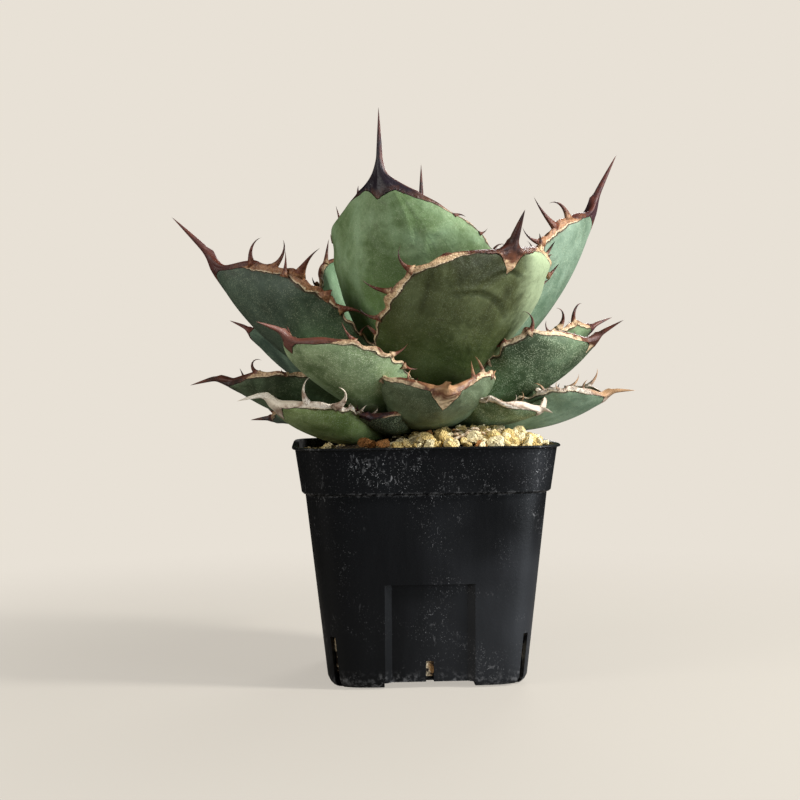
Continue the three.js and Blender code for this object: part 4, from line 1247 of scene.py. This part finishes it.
def bed_material():
    """Fines between the grains: brown grit and dust, in shade."""
    g = Graph("bed_fines")
    grit = g.cells(900)
    body = g.blend(g.step(g.noise(260, 4), 0.4, 0.66), srgb(46, 34, 24), srgb(96, 76, 50))
    g.surface("Base Color", g.blend(g.step(grit, 0.5, 0.8), body, srgb(140, 118, 80)))
    g.surface("Roughness", 0.95)
    g.surface("Normal", g.relief(grit, 0.0009))
    return g.material


# %% [markdown]
# The bed is a dark base of fines with several hundred grains set in it up to their middles, denser towards
# the pot's wall, because the leaves hide its middle. The last ones are bigger and heaped at the front right,
# where the photo shows them stacked above the rim. On the left, where it shows none, the bed lies lower.
#
# The base's edge folds down a little under its top. That misleads Blender when it looks for the outside, so
# the base's faces are turned over once more by hand.

# %% The bed
def bed_height(x, y):
    """The gravel's top in mm: mounded in the middle, heaped at the front right and low on the left."""
    mound = 7 * max(0.0, 1 - math.hypot(x, y) / 47)
    heap = 4.2 * math.exp(-((x - 26) / 19) ** 2 - ((y + 32) / 13) ** 2)
    dip = 4.9 * math.exp(-((x + 31) / 23) ** 4)
    return POT_HEIGHT - 0.8 + mound + heap - dip


SCATTERED, HEAPED = 640, 80
BARE_MIDDLE = 13
rng = np.random.default_rng(5)
bed = pull_up("gravel_bed_of_grains", [(47.6, 84.2), (48.6, 89), (48.8, POT_HEIGHT - 5.5),
                                       (40, POT_HEIGHT - 4.5), (30, POT_HEIGHT - 0.6), (8, POT_HEIGHT + 3.4)])
bed.data.flip_normals()
bed.data.transform(Matrix.Translation(AXIS))
mark(bed.data, "tint", np.full(len(bed.data.vertices), 0.5))
grains = []
while len(grains) < SCATTERED + HEAPED:
    x, y = rng.uniform(-48, 48, 2)
    heaped = len(grains) >= SCATTERED
    if heaped:
        x, y = rng.normal(31, 9), rng.normal(-34, 7)
    radius = (2.1 + 1.1 * rng.uniform()) if heaped else 1.3 + 1.9 * rng.uniform() ** 1.8
    inside = (abs(x) ** 6 + abs(y) ** 6) ** (1 / 6) < 49.2 - radius
    reach = math.hypot(x, y)
    if not inside or reach < BARE_MIDDLE or (not heaped and rng.uniform() > 0.3 + reach / 45):
        continue
    tint = rng.uniform(0, 0.85) if rng.uniform() > 0.015 else 1.0
    height = bed_height(x, y) + (rng.uniform(-2.5, 0.9) if heaped else rng.uniform(-0.8, 0.8))
    master = GRAIN_MASTERS[len(grains) % len(GRAIN_MASTERS)]
    grains.append(set_grain(master, np.array([x, y, height]), radius * rng.uniform(0.65, 1.25, 3), rng, tint))
pumice = pumice_material()
bed.data.materials.append(bed_material())
bed.data.materials.append(pumice)
for grain in grains:
    grain.data.materials.append(pumice)
join_to(bed, grains)
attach(bed, "root")
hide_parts("gravel_bed")
print("gravel bed:", len(grains), "grains,", len(bed.data.polygons), "faces")

# %% [markdown]
# The loose grains lie on top of the bed. Each takes the place and the mean size of its piece in the
# construction model and is settled to the bed's height there. One rusty grain at the front left stands a few
# millimetres higher, so that it shows over the rim.

# %% The loose grains
RUSTY_ACROSS, RUSTY_FRONT, RUSTY_LIFT = -21, -28, 4.0
LOOSE_SHAPE = np.array([1.4, 1.1, 0.95])
FINE_MASTERS = [broken_grain(f"fine_grain_{number}", 4, 31 + number, 7) for number in range(3)]
for number in range(1, 15):
    node = f"pumice_{number:02d}"
    low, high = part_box(node)
    at = (np.array((low + high) / 2) - np.array(AXIS)) / MM
    radii = np.array(high - low) / 2 / MM
    rng = np.random.default_rng(60 + number)
    rusty = abs(at[0] - RUSTY_ACROSS) < 4 and at[1] < RUSTY_FRONT
    at[2] = bed_height(at[0], at[1]) + 0.6 * radii.mean() + (RUSTY_LIFT if rusty else 0)
    tint = 1.0 if rusty else rng.uniform(0.0, 0.8)
    grain = set_grain(FINE_MASTERS[number % len(FINE_MASTERS)], at, radii.mean() * LOOSE_SHAPE, rng, tint)
    grain.name = grain.data.name = f"{node}_grain"
    settle(grain)
    apply_modifier(grain, "BEVEL", width=0.12 * MM, segments=1, limit_method="ANGLE", angle_limit=0.6)
    finish_piece(grain, pumice, "pumice", node)
for master in GRAIN_MASTERS + FINE_MASTERS:
    bpy.data.objects.remove(master)

# %% [markdown]
# ## Husks and old roots
#
# Between the lowest leaves and the gravel lie papery remains of dead leaves and a tangle of pale root fibres.
# Curves with a round section would do for them, but a flat husk needs another section. So a fibre is a thin
# sphere drawn out along a wandering line: its ends close by themselves, and flattened it is a husk. The way
# it is laid along the line mirrors the sphere, so its faces are turned over again.

# %% Fibres and husks
def strand(points, radius, flat=1.0):
    """A closed fibre through points in mm, thinner at its ends. flat below 1 makes it a strip."""
    deselect()
    bpy.ops.mesh.primitive_uv_sphere_add(segments=8, ring_count=28, radius=1)
    fibre = named("fibre")
    ball = coordinates(fibre.data)
    share = 1 - np.arccos(np.clip(ball[:, 2], -1, 1)) / np.pi
    ring = np.hypot(ball[:, 0], ball[:, 1])
    turn_round = np.arctan2(ball[:, 1], ball[:, 0])
    knots = np.linspace(0, 1, len(points))

    def at(share):
        return np.stack([np.interp(np.clip(share, 0, 1), knots, points[:, k]) for k in range(3)], 1)

    forward = at(share + 0.02) - at(share - 0.02)
    forward /= np.linalg.norm(forward, axis=1)[:, None]
    level = np.cross(forward, (0.1, 0.2, 1.0))
    level /= np.linalg.norm(level, axis=1)[:, None]
    upright = np.cross(level, forward)
    size = (radius * ring ** 0.5)[:, None]
    around = level * np.cos(turn_round)[:, None] + flat * upright * np.sin(turn_round)[:, None]
    set_coordinates(fibre.data, (at(share) + size * around) * MM + np.array(AXIS))
    fibre.data.flip_normals()
    return fibre


def wandering(rng, low, high, count, drift):
    """A smooth random line inside a box, with its corners rounded off."""
    start, stop = rng.uniform(low, high), rng.uniform(low, high)
    knots = np.linspace(0, 1, 6)
    path = start + (stop - start) * knots[:, None] + rng.normal(size=(6, 3)) * drift
    path = np.clip(path, low, high)
    share = np.linspace(0, 1, count)
    dense = np.stack([np.interp(share, knots, path[:, k]) for k in range(3)], 1)
    for _ in range(6):
        dense[1:-1] = (dense[:-2] + 2 * dense[1:-1] + dense[2:]) / 4
    return dense


def dry_material():
    """Dead leaf bases and root fibres: straw to pale grey, streaked along their length."""
    g = Graph("dry_fibre")
    tone = g.noise(420, 4, distortion=0.5)
    body = g.blend(g.step(tone, 0.35, 0.68), srgb(150, 118, 82), srgb(226, 212, 188))
    g.surface("Base Color", g.blend(g.times(g.step(g.noise(900), 0.5, 0.7), 0.5), body, srgb(98, 66, 44)))
    g.surface("Roughness", 0.85)
    g.surface("Specular IOR Level", 0.25)
    g.surface("Normal", g.relief(tone, 0.0006))
    return g.material


SPARE = np.array([1.5, 1.5, 0.6])
dry = dry_material()
for number, node in enumerate(("dry_root_1", "dry_root_2")):
    rng = np.random.default_rng(80 + number)
    low, high = ((np.array(corner) - np.array(AXIS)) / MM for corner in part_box(node))
    print(node, "box", low.round(1), high.round(1))
    low, high = low - SPARE, high + SPARE
    fibres = [strand(wandering(rng, low, high, 40, 2.4), rng.uniform(0.35, 0.7)) for _ in range(5)]
    fibres += [strand(wandering(rng, low, high, 30, 1.4), rng.uniform(1.3, 2.0), 0.22) for _ in range(3)]
    join_to(fibres[0], fibres[1:])
    bpy.ops.object.shade_smooth()
    fibres[0].name = fibres[0].data.name = node + "_fibres"
    finish_piece(fibres[0], dry, "dry_root", node)

# %% [markdown]
# ## Soil and stem
#
# The soil fills the pot and shows only through the slits at the foot. The short stem is hidden between the
# leaf bases. Both keep their shapes from the construction model and only get a finish.

# %% Soil and stem finishes
def soil_material():
    """Potting mix: near black peat with pale grit and a few tan grains."""
    g = Graph("potting_mix")
    grit = g.cells(330, g.warped(500, 0.002))
    peat = g.blend(g.noise(400, 4), srgb(18, 13, 9), srgb(58, 42, 28))
    stones = g.blend(g.step(g.noise(120), 0.45, 0.7), srgb(244, 228, 196), srgb(168, 128, 82))
    g.surface("Base Color", g.blend(g.fade(grit, 0.42, 0.62), peat, stones))
    g.surface("Roughness", 0.95)
    g.surface("Normal", g.relief(grit, 0.0015))
    return g.material


def stem_material():
    """The stem: corky and straw brown, with darker rings of old leaf scars."""
    g = Graph("corky_stem")
    rings = g.noise(240, 3, g.stretched(0.3, 0.3, 1.6))
    body = g.blend(g.step(rings, 0.4, 0.62), srgb(104, 76, 48), srgb(170, 142, 100))
    g.surface("Base Color", g.blend(g.times(g.noise(700), 0.4), body, srgb(74, 50, 32)))
    g.surface("Roughness", 0.9)
    g.surface("Normal", g.relief(rings, 0.0012))
    return g.material


for node, material in (("substrate", soil_material()), ("stem_with_roots", stem_material())):
    for holder in bpy.data.objects[node].material_slots:
        holder.material = material
    print(node, "keeps its shape and gets", material.name)
